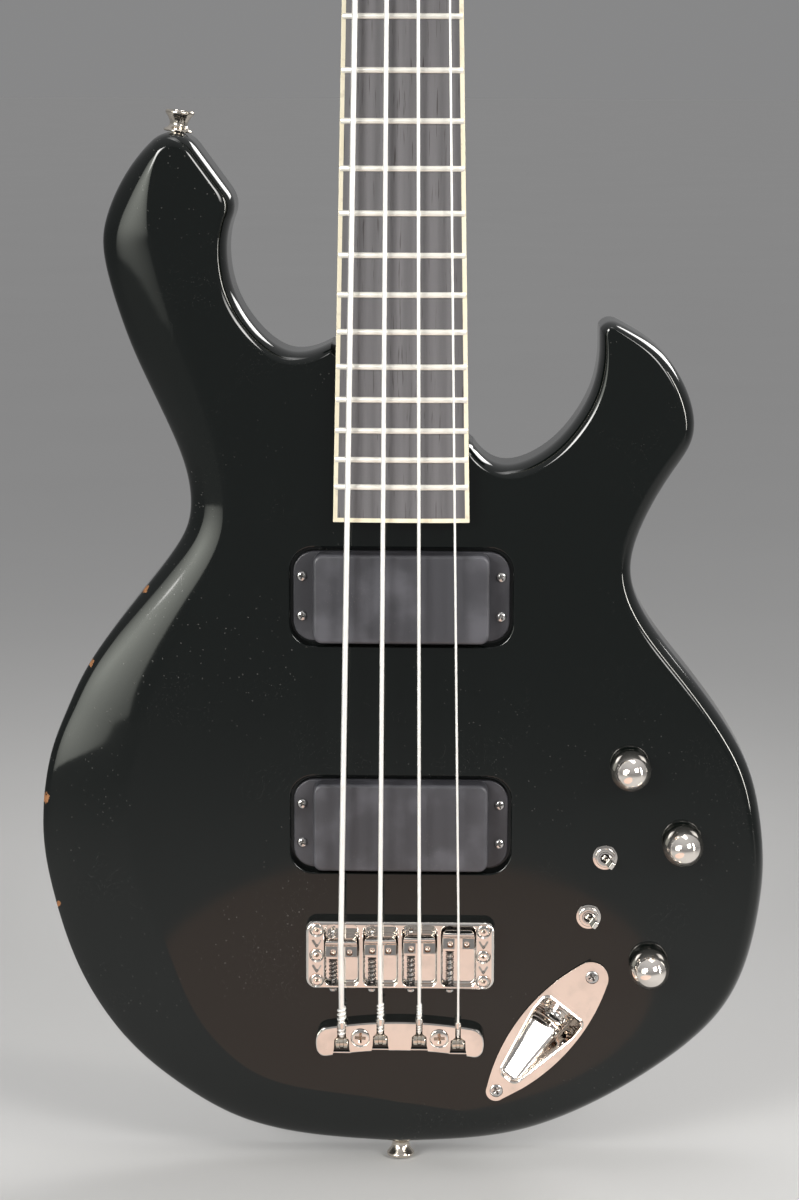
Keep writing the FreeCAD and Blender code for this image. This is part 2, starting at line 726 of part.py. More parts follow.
def bridge_screws():
    """Six countersunk wood screws through the tray, and their holes."""
    solids = []
    holes = []
    for side in (-1, 1):
        for step in (-1, 0, 1):
            z = TRAY_MID_Z + step * TRAY_SCREW_PITCH
            seat = Vec(side * TRAY_SCREW_X, front_y(TRAY_HEIGHT - 0.8), z)
            solid, hole = flat_screw(seat, BACKWARD, TRAY_SCREW_HEAD, TRAY_SCREW, TRAY_SCREW_LENGTH)
            solids.append(solid)
            holes.append(hole.fuse(bar(seat, FORWARD, TRAY_SCREW_HEAD + SCREW_GAP, 2, SCREW_SIDES)))
    return solids, holes


def saddle(index):
    """Carriage in its channel, the stepped block that it carries, and two height screws."""
    x = string_x(index, STRING_PITCH)
    ridge = saddle_z(index)
    half = POCKET_WIDTH / 2 - SADDLE_SIDE_GAP
    floor = front_y(TRAY_FLOOR + CARRIAGE_LIFT)
    deck = front_y(CARRIAGE_TOP)
    nose = ridge + SADDLE_FRONT
    rear = nose - CARRIAGE_LENGTH
    ease = CARRIAGE_CORNER
    plan = ((x - half, rear), (x + half, rear), (x + half, nose - ease), (x + half - ease, nose),
            (x - half + ease, nose), (x - half, nose - ease))
    carriage = prism(plan, deck, floor)
    thread = Vec(x - INTONATION_X, front_y(INTONATION_HEIGHT), rear - 1)
    room = INTONATION_RADIUS + RUNNING_GAP
    carriage = carriage.cut(clear_bar(thread, UPWARD, room, CARRIAGE_LENGTH + 2, ROUND_SIDES))
    under = front_y(CARRIAGE_TOP + SADDLE_GAP)
    step_y = front_y(SADDLE_STEP_HEIGHT)
    crest = front_y(RIDGE_HEIGHT)
    tail = nose - SADDLE_BLOCK_LENGTH
    shelf = nose - SADDLE_STEP
    profile = ((nose, under), (nose, crest + 2.2), (ridge + 0.6, crest + 0.2), (ridge, crest),
               (ridge - 0.8, crest + 0.3), (shelf, crest + 1.8), (shelf, step_y),
               (tail, step_y), (tail, under))
    top = prism_side(profile, half)
    top.translate(Vec(x, 0, 0))
    screws = []
    for side in (-1, 1):
        foot = Vec(x + side * HEIGHT_SCREW_X, deck, ridge - HEIGHT_SCREW_BACK)
        reach = SADDLE_STEP_HEIGHT - CARRIAGE_TOP
        top = top.cut(bar(foot, FORWARD, HEIGHT_SCREW_RADIUS + SCREW_GAP, reach + 1, SCREW_SIDES))
        screw = bar(foot, FORWARD, HEIGHT_SCREW_RADIUS, reach - 0.6, SCREW_SIDES)
        mouth = foot + FORWARD * (reach - 0.6)
        screws.append(screw.cut(bar(mouth, BACKWARD, HEIGHT_SCREW_RADIUS * 0.55, 1.2, 6)))
    return group([carriage, top] + screws)





def intonation_screw(index):
    """Long screw from the tray's tail wall through the carriage."""
    x = string_x(index, STRING_PITCH) - INTONATION_X
    y = front_y(INTONATION_HEIGHT)
    seat = Vec(x, y, TRAY_LOW_Z - RUNNING_GAP)
    dome = [(INTONATION_HEAD * 0.65, 0), (INTONATION_HEAD, 0.9), (INTONATION_HEAD, INTONATION_HEAD_HEIGHT)]
    head = turned(dome, seat - UPWARD * INTONATION_HEAD_HEIGHT, UPWARD, ROUND_SIDES)
    slot = block(x - 3, x + 3, y - 0.35, y + 0.35, seat.z - INTONATION_HEAD_HEIGHT - 1, seat.z - 1)
    return head.cut(slot).fuse(rod(seat - UPWARD * 0.5, UPWARD, INTONATION_RADIUS, INTONATION_LENGTH))


def helix_point(centre, radius, height, turn, hand):
    """Point and direction on a helix about Z: height per turn is given by the caller."""
    angle = 2 * math.pi * turn * hand
    return Vec(centre.x + radius * math.cos(angle), centre.y + radius * math.sin(angle), height)


def intonation_spring(index):
    """Coil spring round the screw, from the tail wall to the carriage."""
    x = string_x(index, STRING_PITCH) - INTONATION_X
    low = TRAY_LOW_Z + TRAY_WALL
    high = saddle_z(index) + SADDLE_FRONT - CARRIAGE_LENGTH - 0.15
    centre = Vec(x, front_y(INTONATION_HEIGHT), 0)
    lead = SPRING_WIRE * 2.2
    rise = (high - low - 2 * lead) / SPRING_TURNS
    climb = rise / (2 * math.pi * SPRING_RADIUS)
    steps = 2 * SPRING_TURNS
    points = []
    tangents = []
    for i in range(steps + 1):
        angle = math.pi * i
        points.append(helix_point(centre, SPRING_RADIUS, low + lead + rise * i / 2, i / 2, 1))
        tangents.append(Vec(-math.sin(angle), math.cos(angle), climb).normalize())
    edges = []
    first = points[0] - tangents[0] * lead
    first.z = low + SPRING_WIRE
    foot = Vec(first.x, first.y, low)
    edges.append(Part.LineSegment(foot, first).toShape())
    edges += biarc(first, UPWARD, points[0], tangents[0])
    for i in range(steps):
        edges += biarc(points[i], tangents[i], points[i + 1], tangents[i + 1])
    last = points[-1] + tangents[-1] * lead
    last.z = high - SPRING_WIRE
    edges += biarc(points[-1], tangents[-1], last, UPWARD)
    edges.append(Part.LineSegment(last, Vec(last.x, last.y, high)).toShape())
    walk = [point for edge in edges for point in edge.discretize(12)]
    print("spring", STRING_NAMES[index], "least gap", round(least_gap(walk, SPRING_WIRE), 2))
    return tube(edges, SPRING_WIRE / 2, SPRING_SIDES)


def tailpiece_arc_z(x):
    """Middle line of the arched tailpiece."""
    return TAIL_Z - TAIL_ARCH * (2 * x / TAIL_WIDTH) ** 2


def tailpiece():
    """Arched bar with a groove and a flared mouth for each string."""
    half = TAIL_WIDTH / 2
    rise = TAIL_LENGTH / 2
    ends = tailpiece_arc_z(half)
    corners = [Vec(-half, FRONT, ends + rise), Vec(half, FRONT, ends + rise),
               Vec(half, FRONT, ends - rise), Vec(-half, FRONT, ends - rise)]
    edges = [Part.Arc(corners[0], Vec(0, FRONT, TAIL_Z + rise), corners[1]).toShape(),
             Part.Arc(corners[1], Vec(half + TAIL_END_BULGE, FRONT, ends), corners[2]).toShape(),
             Part.Arc(corners[2], Vec(0, FRONT, TAIL_Z - rise), corners[3]).toShape(),
             Part.Arc(corners[3], Vec(-half - TAIL_END_BULGE, FRONT, ends), corners[0]).toShape()]
    piece = Part.Face(Part.Wire(edges)).extrude(FORWARD * TAIL_HEIGHT)
    piece = piece.makeFillet(TAIL_CORNER, upright_edges(piece))
    piece = piece.makeChamfer(TAIL_EDGE, edges_at_y(piece, front_y(TAIL_HEIGHT)))
    base = front_y(TAIL_HEIGHT - TAIL_SLOT_DEPTH)
    for index in range(4):
        x = string_x(index, STRING_PITCH)
        shoulder = ball_shoulder_z(index)
        groove = STRING_DIAMETERS[index] + TAIL_SLOT_EASE
        high = TAIL_Z + TAIL_LENGTH
        above = front_y(TAIL_HEIGHT + 1)
        piece = piece.cut(block(x - groove / 2, x + groove / 2, above, base, shoulder - 1, high))
        narrow = BALL_LENGTH / 2 + BALL_EASE
        wide = narrow + TAIL_FLARE
        mouth = ((x - narrow, shoulder), (x + narrow, shoulder), (x + wide, shoulder - TAIL_LENGTH),
                 (x - wide, shoulder - TAIL_LENGTH))
        piece = piece.cut(prism(mouth, front_y(TAIL_HEIGHT + 1), base))
    return piece


def ball_shoulder_z(index):
    """Upper end of the flared mouth that a string's ball end pulls against."""
    return tailpiece_arc_z(string_x(index, STRING_PITCH)) - TAIL_LENGTH / 2 + TAIL_BALL_LENGTH


def ball_centre(index):
    """Middle of a string's ball end."""
    base = TAIL_HEIGHT - TAIL_SLOT_DEPTH
    z = ball_shoulder_z(index) - BALL_RADIUS - 0.1
    return Vec(string_x(index, STRING_PITCH), front_y(base + BALL_RADIUS + 0.1), z)


def string_ball_ends():
    """Four brass barrels that anchor the strings."""
    solids = []
    for index in range(4):
        start = ball_centre(index) - Vec(BALL_LENGTH / 2, 0, 0)
        solids.append(bar(start, Vec(1, 0, 0), BALL_RADIUS, BALL_LENGTH, ROUND_SIDES))
    return group(solids)


def tailpiece_screws():
    """Two large screws that hold the tailpiece, with crossed slots, and their holes."""
    solids = []
    holes = []
    for side in (-1, 1):
        x = side * TAIL_SCREW_X
        seat = Vec(x, front_y(TAIL_HEIGHT - 0.4), tailpiece_arc_z(x))
        solid, hole = flat_screw(seat, BACKWARD, TAIL_SCREW_HEAD, TAIL_SCREW, TAIL_SCREW_LENGTH)
        for across, along in ((2.6, 0.5), (0.5, 2.6)):
            slot = block(x - across, x + across, seat.y, seat.y + 1.3, seat.z - along, seat.z + along)
            solid = solid.cut(slot)
        solids.append(solid)
        holes.append(hole.fuse(bar(seat, FORWARD, TAIL_SCREW_HEAD + SCREW_GAP, 2, SCREW_SIDES)))
    return solids, holes


def bend_path(points, radii):
    """Straight runs through the points, with a tangent arc of the given radius at each inner point."""
    edges = []
    last = points[0]
    for i in range(1, len(points) - 1):
        before = (points[i] - points[i - 1]).normalize()
        after = (points[i + 1] - points[i]).normalize()
        cut = radii[i - 1] * math.tan(before.getAngle(after) / 2)
        start = points[i] - before * cut
        end = points[i] + after * cut
        edges.append(Part.LineSegment(last, start).toShape())
        edges.append(arc_from_tangent(start, before, end))
        last = end
    edges.append(Part.LineSegment(last, points[-1]).toShape())
    return edges


def string_heights(index):
    """Y of the string's middle at the saddle's ridge and at the nut."""
    radius = STRING_DIAMETERS[index] / 2
    return front_y(RIDGE_HEIGHT) - radius - SCREW_GAP, FRET_TOP_Y - NUT_ACTION - radius


def bass_string(index):
    """One string from its ball end over saddle and nut to its turns round the tuner's post."""
    diameter = STRING_DIAMETERS[index]
    radius = diameter / 2
    ridge_y, nut_y = string_heights(index)
    ball = ball_centre(index)
    start = Vec(ball.x, ball.y, ball.z + BALL_RADIUS)
    ridge = Vec(string_x(index, STRING_PITCH), ridge_y, saddle_z(index))
    nut_point = Vec(string_x(index, NUT_STRING_PITCH), nut_y, NUT_Z + NUT_LENGTH / 2)
    post, side = post_place(index)
    wind = POST_RADIUS + 0.3 + radius
    top_y = HEADSTOCK_FRONT_Y - SPOOL_TOP + radius + 0.5
    centre = Vec(post.x, 0, post.z)
    flat_nut = Vec(nut_point.x, 0, nut_point.z)
    away = centre - flat_nut
    bearing = math.atan2(away.z, away.x)
    lean = math.asin(wind / away.Length)
    heading = bearing + side * lean
    along = Vec(math.cos(heading), 0, math.sin(heading))
    touch = flat_nut + along * math.sqrt(away.Length ** 2 - wind ** 2)
    touch.y = top_y
    edges = bend_path([start, ridge, nut_point, touch], [6.0, 14.0])
    hand = -side
    first_angle = math.atan2(touch.z - post.z, touch.x - post.x)
    pitch = diameter + WIND_GAP
    climb = pitch / (2 * math.pi * wind)
    points = [touch]
    tangents = [(touch - nut_point).normalize()]
    for i in range(1, 4 * WIND_TURNS + 1):
        angle = first_angle + hand * math.pi / 2 * i
        y = top_y + pitch * i / 4
        points.append(Vec(post.x + wind * math.cos(angle), y, post.z + wind * math.sin(angle)))
        tangents.append(Vec(-hand * math.sin(angle), climb, hand * math.cos(angle)).normalize())
    turns = []
    for i in range(len(points) - 1):
        turns += biarc(points[i], tangents[i], points[i + 1], tangents[i + 1])
    turns.append(Part.LineSegment(points[-1], points[-1] + tangents[-1] * diameter).toShape())
    walk = [point for edge in turns for point in edge.discretize(12)]
    print("string", STRING_NAMES[index], "turns, least gap", round(least_gap(walk, diameter), 2))
    return tube(edges + turns, radius, STRING_SIDES)


def nut():
    """Nut with a round-bottomed slot for each string."""
    half = NUT_WIDTH / 2
    top = FRET_TOP_Y - NUT_ACTION - NUT_LIP
    solid = block(-half, half, top, BOARD_BACK_Y, NUT_Z, NUT_Z + NUT_LENGTH)
    for index in range(4):
        x = string_x(index, NUT_STRING_PITCH)
        y = string_heights(index)[1]
        radius = STRING_DIAMETERS[index] / 2 + 0.25
        solid = solid.cut(bar(Vec(x, y, NUT_Z - 1), UPWARD, radius, NUT_LENGTH + 2, ROUND_SIDES))
        solid = solid.cut(block(x - radius, x + radius, top - 1, y, NUT_Z - 1, NUT_Z + NUT_LENGTH + 1))
    return solid


def pickup_z(which):
    """Middle of the neck pickup (0) or the bridge pickup (1)."""
    if which == 0:
        return BOARD_END_Z - NECK_PICKUP_DROP
    return SADDLE_LINE_Z + BRIDGE_PICKUP_RISE


EAR_TOP_Y = FRONT + EAR_RECESS
EAR_BACK_Y = EAR_TOP_Y + EAR_THICKNESS


def pickup_rout(which):
    """Room in the body for a pickup: a shallow bed for its ears and a deep well for its coil."""
    z = pickup_z(which)
    width = EAR_SPAN + 2 * ROUT_GAP
    length = PICKUP_LENGTH + 2 * ROUT_GAP + 1.5
    bed = rounded_block(0, z, width, length, EAR_CORNER + 1, FRONT - 1, EAR_BACK_Y)
    floor = FRONT + ROUT_DEPTH
    well = rounded_block(0, z, PICKUP_WIDTH + 2, PICKUP_LENGTH, PICKUP_CORNER, FRONT - 1, floor)
    return bed.fuse(well)


def pickup_cover(which):
    """Moulded cover with two sunken ears, open at the back."""
    z = pickup_z(which)
    top = front_y(PICKUP_HEIGHT)
    ears = rounded_block(0, z, EAR_SPAN, PICKUP_LENGTH, EAR_CORNER, EAR_TOP_Y, EAR_BACK_Y)
    shell = rounded_block(0, z, PICKUP_WIDTH, PICKUP_LENGTH - 0.6, PICKUP_CORNER, top, FRONT + PICKUP_DEPTH)
    shell = shell.makeChamfer(PICKUP_EDGE, edges_at_y(shell, top))
    half_w = PICKUP_WIDTH / 2 - PICKUP_WALL
    half_l = PICKUP_LENGTH / 2 - PICKUP_WALL
    inside = block(-half_w, half_w, top + PICKUP_WALL, FRONT + PICKUP_DEPTH + 1, z - half_l, z + half_l)
    return ears.fuse(shell).cut(inside)


def pickup_screws():
    """Eight ear screws and their holes."""
    solids = []
    holes = []
    for which in (0, 1):
        for side in (-1, 1):
            for step in (-1, 1):
                seat = Vec(side * EAR_SCREW_X, EAR_TOP_Y, pickup_z(which) + step * EAR_SCREW_Z)
                solid, hole = pan_screw(seat, BACKWARD, SMALL_HEAD, 1.4, SMALL_SCREW, EAR_SCREW_LENGTH)
                solids.append(solid)
                holes.append(hole)
    return solids, holes


def pickup_insides():
    """Two coils, each wound as a long ring, and the bar magnets that they go round."""
    coils = []
    magnets = []
    y = front_y(PICKUP_HEIGHT - PICKUP_WALL)
    width = PICKUP_WIDTH - 2 * PICKUP_WALL - 1
    for which in (0, 1):
        z = pickup_z(which)
        length = 2 * COIL_THICKNESS + MAGNET_WIDTH + 0.6
        ring = rounded_block(0, z, width, length, 8, y, y + COIL_HEIGHT)
        hole = block(-width / 2 + COIL_THICKNESS, width / 2 - COIL_THICKNESS, y, y + COIL_HEIGHT,
                     z - MAGNET_WIDTH / 2 - 0.3, z + MAGNET_WIDTH / 2 + 0.3)
        coils.append(ring.cut(hole))
        end = width / 2 - COIL_THICKNESS - 0.3
        half = MAGNET_WIDTH / 2
        magnets.append(block(-end, end, y, y + COIL_HEIGHT, z - half, z + half))
    return group(coils), group(magnets)


def control_knob(index):
    """Domed metal knob pressed on its potentiometer's shaft."""
    x, z = KNOB_PLACES[index]
    base = Vec(x, front_y(KNOB_LIFT), z)
    dome = KNOB_HEIGHT - KNOB_SIDE
    steps = [(KNOB_FOOT_RADIUS, 0)]
    for angle in KNOB_DOME_ANGLES:
        lean = math.radians(angle)
        steps.append((KNOB_RADIUS * math.cos(lean), KNOB_SIDE + dome * math.sin(lean)))
    knob = turned(steps, base, FORWARD, KNOB_SIDES)
    knob = knob.cut(bar(base, FORWARD, POT_NUT_RADIUS + 0.9, POT_NUT_HEIGHT + 1.6, ROUND_SIDES))
    bore = POT_SHAFT_RADIUS + SCREW_GAP
    depth = KNOB_HEIGHT - 5
    knob = knob.cut(clear_bar(base, FORWARD, bore, depth, ROUND_SIDES))
    shaft_end = FRONT + FRONT_WALL + 1
    reach = shaft_end - front_y(KNOB_LIFT) + depth
    return group([knob, rod(Vec(x, shaft_end, z), FORWARD, POT_SHAFT_RADIUS, reach)])


def potentiometers():
    """Three potentiometer cases with their threaded bushes."""
    solids = []
    for x, z in KNOB_PLACES:
        wall = FRONT + FRONT_WALL
        case = bar(Vec(x, wall, z), BACKWARD, POT_RADIUS, POT_DEPTH, ROUND_SIDES)
        reach = FRONT_WALL + POT_NUT_HEIGHT + 0.5
        bush = bar(Vec(x, wall, z), FORWARD, POT_BUSH_RADIUS, reach, ROUND_SIDES)
        tabs = block(x - 5, x + 5, wall + 4, wall + 5, z - POT_RADIUS - 5, z)
        bore = Vec(x, wall + 1.2, z)
        room = POT_SHAFT_RADIUS + RUNNING_GAP
        hollow = clear_bar(bore, FORWARD, room, FRONT_WALL + 9, ROUND_SIDES)
        solids.append(case.fuse([bush, tabs]).cut(hollow))
    return group(solids)


def control_nuts():
    """Hexagon nuts on the potentiometers and round dress nuts on the toggle switches."""
    solids = []
    for x, z in KNOB_PLACES:
        seat = Vec(x, FRONT, z)
        solids.append(hex_nut(seat, FORWARD, POT_NUT_RADIUS, POT_NUT_HEIGHT, POT_BUSH_RADIUS + SCREW_GAP))
    rim = TOGGLE_NUT_RADIUS
    steps = [(rim, 0), (rim, 0.9), (rim - 0.8, TOGGLE_NUT_HEIGHT - 0.3), (rim - 1.6, TOGGLE_NUT_HEIGHT)]
    for x, z in TOGGLE_PLACES:
        seat = Vec(x, FRONT, z)
        hole = bar(seat, FORWARD, TOGGLE_BUSH_RADIUS + SCREW_GAP, TOGGLE_NUT_HEIGHT, ROUND_SIDES)
        solids.append(turned(steps, seat, FORWARD, KNOB_SIDES).cut(hole))
    return solids


def toggle_switches():
    """Two switch cases with their threaded bushes, hollow for the lever."""
    solids = []
    for x, z in TOGGLE_PLACES:
        wall = FRONT + FRONT_WALL
        case = block(x - 4, x + 4, wall, wall + 9, z - 6.5, z + 6.5)
        reach = FRONT_WALL + TOGGLE_NUT_HEIGHT + 0.4
        bush = bar(Vec(x, wall, z), FORWARD, TOGGLE_BUSH_RADIUS, reach, ROUND_SIDES)
        lugs = [block(x - 0.8, x + 0.8, wall + 9, wall + 12, z + step - 0.4, z + step + 0.4)
                for step in (-4.5, 0, 4.5)]
        bore = clear_bar(Vec(x, FRONT + 2.5, z), FORWARD, TOGGLE_BUSH_BORE, 12, ROUND_SIDES)
        solids.append(case.fuse([bush] + lugs).cut(bore))
    return group(solids)


def toggle_lever(index):
    """Short flat lever that leans in its bush on a small cross barrel."""
    x, z = TOGGLE_PLACES[index]
    pivot = Vec(x, FRONT, z)
    barrel = rod(pivot - UPWARD * TOGGLE_BARREL_HALF, UPWARD, TOGGLE_BARREL_RADIUS, 2 * TOGGLE_BARREL_HALF)
    stem = turned([(0.9, 0), (1.1, TOGGLE_LEVER * 0.5)], pivot, FORWARD, SCREW_SIDES)
    half_w = TOGGLE_BAT_WIDTH / 2
    half_t = TOGGLE_BAT_THICKNESS / 2
    tip = front_y(TOGGLE_LEVER)
    bat = block(x - half_t, x + half_t, tip, front_y(TOGGLE_LEVER * 0.42), z - half_w, z + half_w)
    bat = bat.makeChamfer(0.4, edges_at_y(bat, tip) + upright_edges(bat))
    lever = barrel.fuse([stem, bat])
    lever.rotate(pivot, UPWARD, TOGGLE_LEAN)
    lever.rotate(pivot, BACKWARD, -TOGGLE_HEADING)
    return lever


def cavity(inset, y0, y1):
    """Control cavity's rounded outline, made larger by a negative inset."""
    cx = sum(x for x, z in CAVITY_CORNERS) / len(CAVITY_CORNERS)
    cz = sum(z for x, z in CAVITY_CORNERS) / len(CAVITY_CORNERS)
    points = []
    for x, z in CAVITY_CORNERS:
        out = Vec(x - cx, 0, z - cz)
        out = out * ((out.Length - inset) / out.Length)
        points.append((cx + out.x, cz + out.z))
    solid = prism(points, y0, y1)
    return solid.makeFillet(CAVITY_CORNER_RADIUS, upright_edges(solid))


def cover_screws():
    """Small flat screws of the control cover and of the truss rod cover, and their holes."""
    solids = []
    holes = []
    cx = sum(x for x, z in CAVITY_CORNERS) / len(CAVITY_CORNERS)
    cz = sum(z for x, z in CAVITY_CORNERS) / len(CAVITY_CORNERS)
    for i, (x, z) in enumerate(CAVITY_CORNERS):
        before = Vec(CAVITY_CORNERS[i - 1][0] - x, 0, CAVITY_CORNERS[i - 1][1] - z)
        following = CAVITY_CORNERS[(i + 1) % len(CAVITY_CORNERS)]
        after = Vec(following[0] - x, 0, following[1] - z)
        rounded_off = CAVITY_CORNER_RADIUS * (1 / math.sin(before.getAngle(after) / 2) - 1)
        out = Vec(x - cx, 0, z - cz)
        out = out * ((out.Length + COVER_LEDGE / 2 - rounded_off) / out.Length)
        seat = Vec(cx + out.x, BACK, cz + out.z)
        solid, hole = flat_screw(seat, FORWARD, SMALL_HEAD, SMALL_SCREW, COVER_SCREW_LENGTH)
        solids.append(solid)
        holes.append(hole)
    for x, z in truss_cover_screw_places():
        seat = Vec(x, HEADSTOCK_FRONT_Y - TRUSS_COVER_THICKNESS, z)
        solid, hole = flat_screw(seat, BACKWARD, SMALL_HEAD, SMALL_SCREW, TRUSS_SCREW_LENGTH)
        solids.append(solid)
        holes.append(hole)
    return solids, holes


TRUSS_POCKET_Z = NUT_Z + NUT_LENGTH + RAMP_LENGTH + TRUSS_COVER_MARGIN
TRUSS_ROD_Y = HEADSTOCK_FRONT_Y + TRUSS_ROD_RADIUS + TRUSS_ROD_SINK


def truss_cover_screw_places():
    """Places of the three screws of the truss rod cover: two beside the rod and one beyond its end."""
    low = TRUSS_POCKET_Z - TRUSS_COVER_MARGIN / 2
    high = TRUSS_POCKET_Z + TRUSS_POCKET_LENGTH + TRUSS_COVER_MARGIN / 2
    return (-TRUSS_SCREW_X, low), (TRUSS_SCREW_X, low), (0, high)


def truss_rod():
    """Steel rod under the fretboard, with its adjusting nut in the headstock's pocket."""
    y = TRUSS_ROD_Y
    top = TRUSS_POCKET_Z + TRUSS_POCKET_LENGTH * 0.75
    start = Vec(0, y, top - TRUSS_ROD_LENGTH)
    solid = bar(start, UPWARD, TRUSS_ROD_RADIUS, TRUSS_ROD_LENGTH, ROUND_SIDES)
    nut_part = bar(Vec(0, y, TRUSS_POCKET_Z + 3), UPWARD, TRUSS_ROD_RADIUS + 1, 9, 6)
    radius = TRUSS_ROD_RADIUS + SCREW_GAP
    channel = bar(start - UPWARD * SCREW_GAP, UPWARD, radius, TRUSS_ROD_LENGTH + 1, ROUND_SIDES)
    middle = TRUSS_POCKET_Z + TRUSS_POCKET_LENGTH / 2
    slot = rounded_block(0, middle, TRUSS_POCKET_WIDTH, TRUSS_POCKET_LENGTH, 4,
                         HEADSTOCK_FRONT_Y - 8, y + TRUSS_POCKET_WIDTH / 2)
    return group([solid.fuse(nut_part)]), channel.fuse(slot)


def truss_rod_cover():
    """Small plain cover over the truss rod's pocket."""
    low = TRUSS_POCKET_Z - TRUSS_COVER_MARGIN
    high = TRUSS_POCKET_Z + TRUSS_POCKET_LENGTH + TRUSS_COVER_MARGIN
    foot = TRUSS_SCREW_X + TRUSS_COVER_MARGIN / 2
    head = TRUSS_COVER_MARGIN * 0.8
    waist = (low + high) / 2
    points = ((-foot, low), (foot, low), (foot, waist), (head, high), (-head, high), (-foot, waist))
    solid = prism(points, HEADSTOCK_FRONT_Y - TRUSS_COVER_THICKNESS, HEADSTOCK_FRONT_Y)
    return solid.makeChamfer(TRUSS_COVER_MARGIN / 4, upright_edges(solid))


# The jack plate is drawn in its own frame: X up along the plate from the lower screw, Z out of the body.
JACK_RUN = Vec(JACK_UPPER_SCREW[0] - JACK_LOWER_SCREW[0], 0, JACK_UPPER_SCREW[1] - JACK_LOWER_SCREW[1])
JACK_ALONG = Vec(JACK_RUN).normalize()
JACK_PLACE = FreeCAD.Placement(
    Vec(JACK_LOWER_SCREW[0], FRONT, JACK_LOWER_SCREW[1]),
    FreeCAD.Rotation(JACK_ALONG, FORWARD.cross(JACK_ALONG), FORWARD, "XZY"))
JACK_OUT = Vec(-math.cos(math.radians(JACK_SLOPE)), 0, math.sin(math.radians(JACK_SLOPE)))
JACK_WALL_LENGTH = (CUP_END - CUP_START) * math.sin(math.radians(JACK_SLOPE))
JACK_WALL_DOWN = Vec(-math.sin(math.radians(JACK_SLOPE)), 0, -math.cos(math.radians(JACK_SLOPE)))
JACK_WALL_MIDDLE = Vec(CUP_END, 0, 0) + JACK_WALL_DOWN * (JACK_WALL_LENGTH * 0.5)


def jack_frame(solid):
    """Carry a solid from the jack plate's frame into the bass's frame."""
    solid.Placement = JACK_PLACE.multiply(solid.Placement)
    return solid


def jack_outline():
    """Boat-shaped outline: a round end at each screw and two bowed sides."""
    span = JACK_RUN.Length
    middle = span * 0.55
    side = JACK_LOWER_END * 0.9
    low = [Vec(-1.5, -side, 0), Vec(-JACK_LOWER_END, 0, 0), Vec(-1.5, side, 0)]
    reach = span + JACK_UPPER_END * 0.9
    high = [Vec(span + 1.0, JACK_UPPER_END, 0), Vec(reach, 0, 0), Vec(span + 1.0, -JACK_UPPER_END, 0)]
    edges = [Part.Arc(low[0], low[1], low[2]).toShape(),
             Part.Arc(low[2], Vec(middle, JACK_HALF_WIDTH, 0), high[0]).toShape(),
             Part.Arc(high[0], high[1], high[2]).toShape(),
             Part.Arc(high[2], Vec(middle, -JACK_HALF_WIDTH, 0), low[0]).toShape()]
    return Part.Wire(edges)


def jack_cup(grow):
    """Sloping cup for the plug: a ramp cut to a plan that narrows towards the lower screw."""
    top = Vec(CUP_END, 0, 0)
    deep = top + JACK_WALL_DOWN * JACK_WALL_LENGTH
    lip = 4.0
    over = Vec(0, 0, lip)
    corners = [Vec(CUP_START - grow * 2, 0, 0), deep + JACK_WALL_DOWN * grow - JACK_OUT * grow,
               top - JACK_OUT * grow, top - JACK_OUT * grow + over, Vec(CUP_START - grow * 2, 0, 0) + over]
    half = CUP_HALF_WIDTH + grow
    placed = [Vec(point.x, -half, point.z) for point in corners]
    ramp = Part.Face(Part.makePolygon(placed + placed[:1])).extrude(Vec(0, 2 * half, 0))
    toe = CUP_TOE + grow
    plan = [Vec(CUP_START + CUP_TOE, toe, -40), Vec(CUP_START - grow, 0, -40),
            Vec(CUP_START + CUP_TOE, -toe, -40), Vec(CUP_END - 8, -half, -40),
            Vec(CUP_END + 12, -half, -40), Vec(CUP_END + 12, half, -40), Vec(CUP_END - 8, half, -40)]
    edges = [Part.Arc(plan[0], plan[1], plan[2]).toShape()]
    for i in range(2, 6):
        edges.append(Part.LineSegment(plan[i], plan[i + 1]).toShape())
    edges.append(Part.LineSegment(plan[6], plan[0]).toShape())
    tower = Part.Face(Part.Wire(edges)).extrude(Vec(0, 0, 60))
    return ramp.common(tower)


def jack_plate():
    """Pressed plate with its cup, and the hole for the jack."""
    plate = Part.Face(jack_outline()).extrude(Vec(0, 0, JACK_PLATE))
    below = block(-20, 120, -40, 40, -60, 0)
    cup = jack_cup(CUP_WALL).common(below)
    solid = plate.fuse(cup).cut(jack_cup(0))
    hole = JACK_WALL_MIDDLE + JACK_OUT * 5
    solid = solid.cut(bar(hole, JACK_OUT * -1, JACK_RADIUS + SCREW_GAP, 12, ROUND_SIDES))
    for centre in (0, JACK_RUN.Length):
        seat = Vec(centre, 0, JACK_PLATE)
        solid = solid.cut(flat_screw(seat, UPWARD * -1, JACK_SCREW_HEAD, JACK_SCREW, JACK_SCREW_LENGTH)[1])
    return jack_frame(solid)


def jack_plate_screws():
    """Two flat screws of the jack plate and their holes in the body."""
    solids = []
    holes = []
    for centre in (0, JACK_RUN.Length):
        seat = Vec(centre, 0, JACK_PLATE)
        solid, hole = flat_screw(seat, UPWARD * -1, JACK_SCREW_HEAD, JACK_SCREW, JACK_SCREW_LENGTH)
        solids.append(jack_frame(solid))
        holes.append(jack_frame(hole))
    return solids, holes


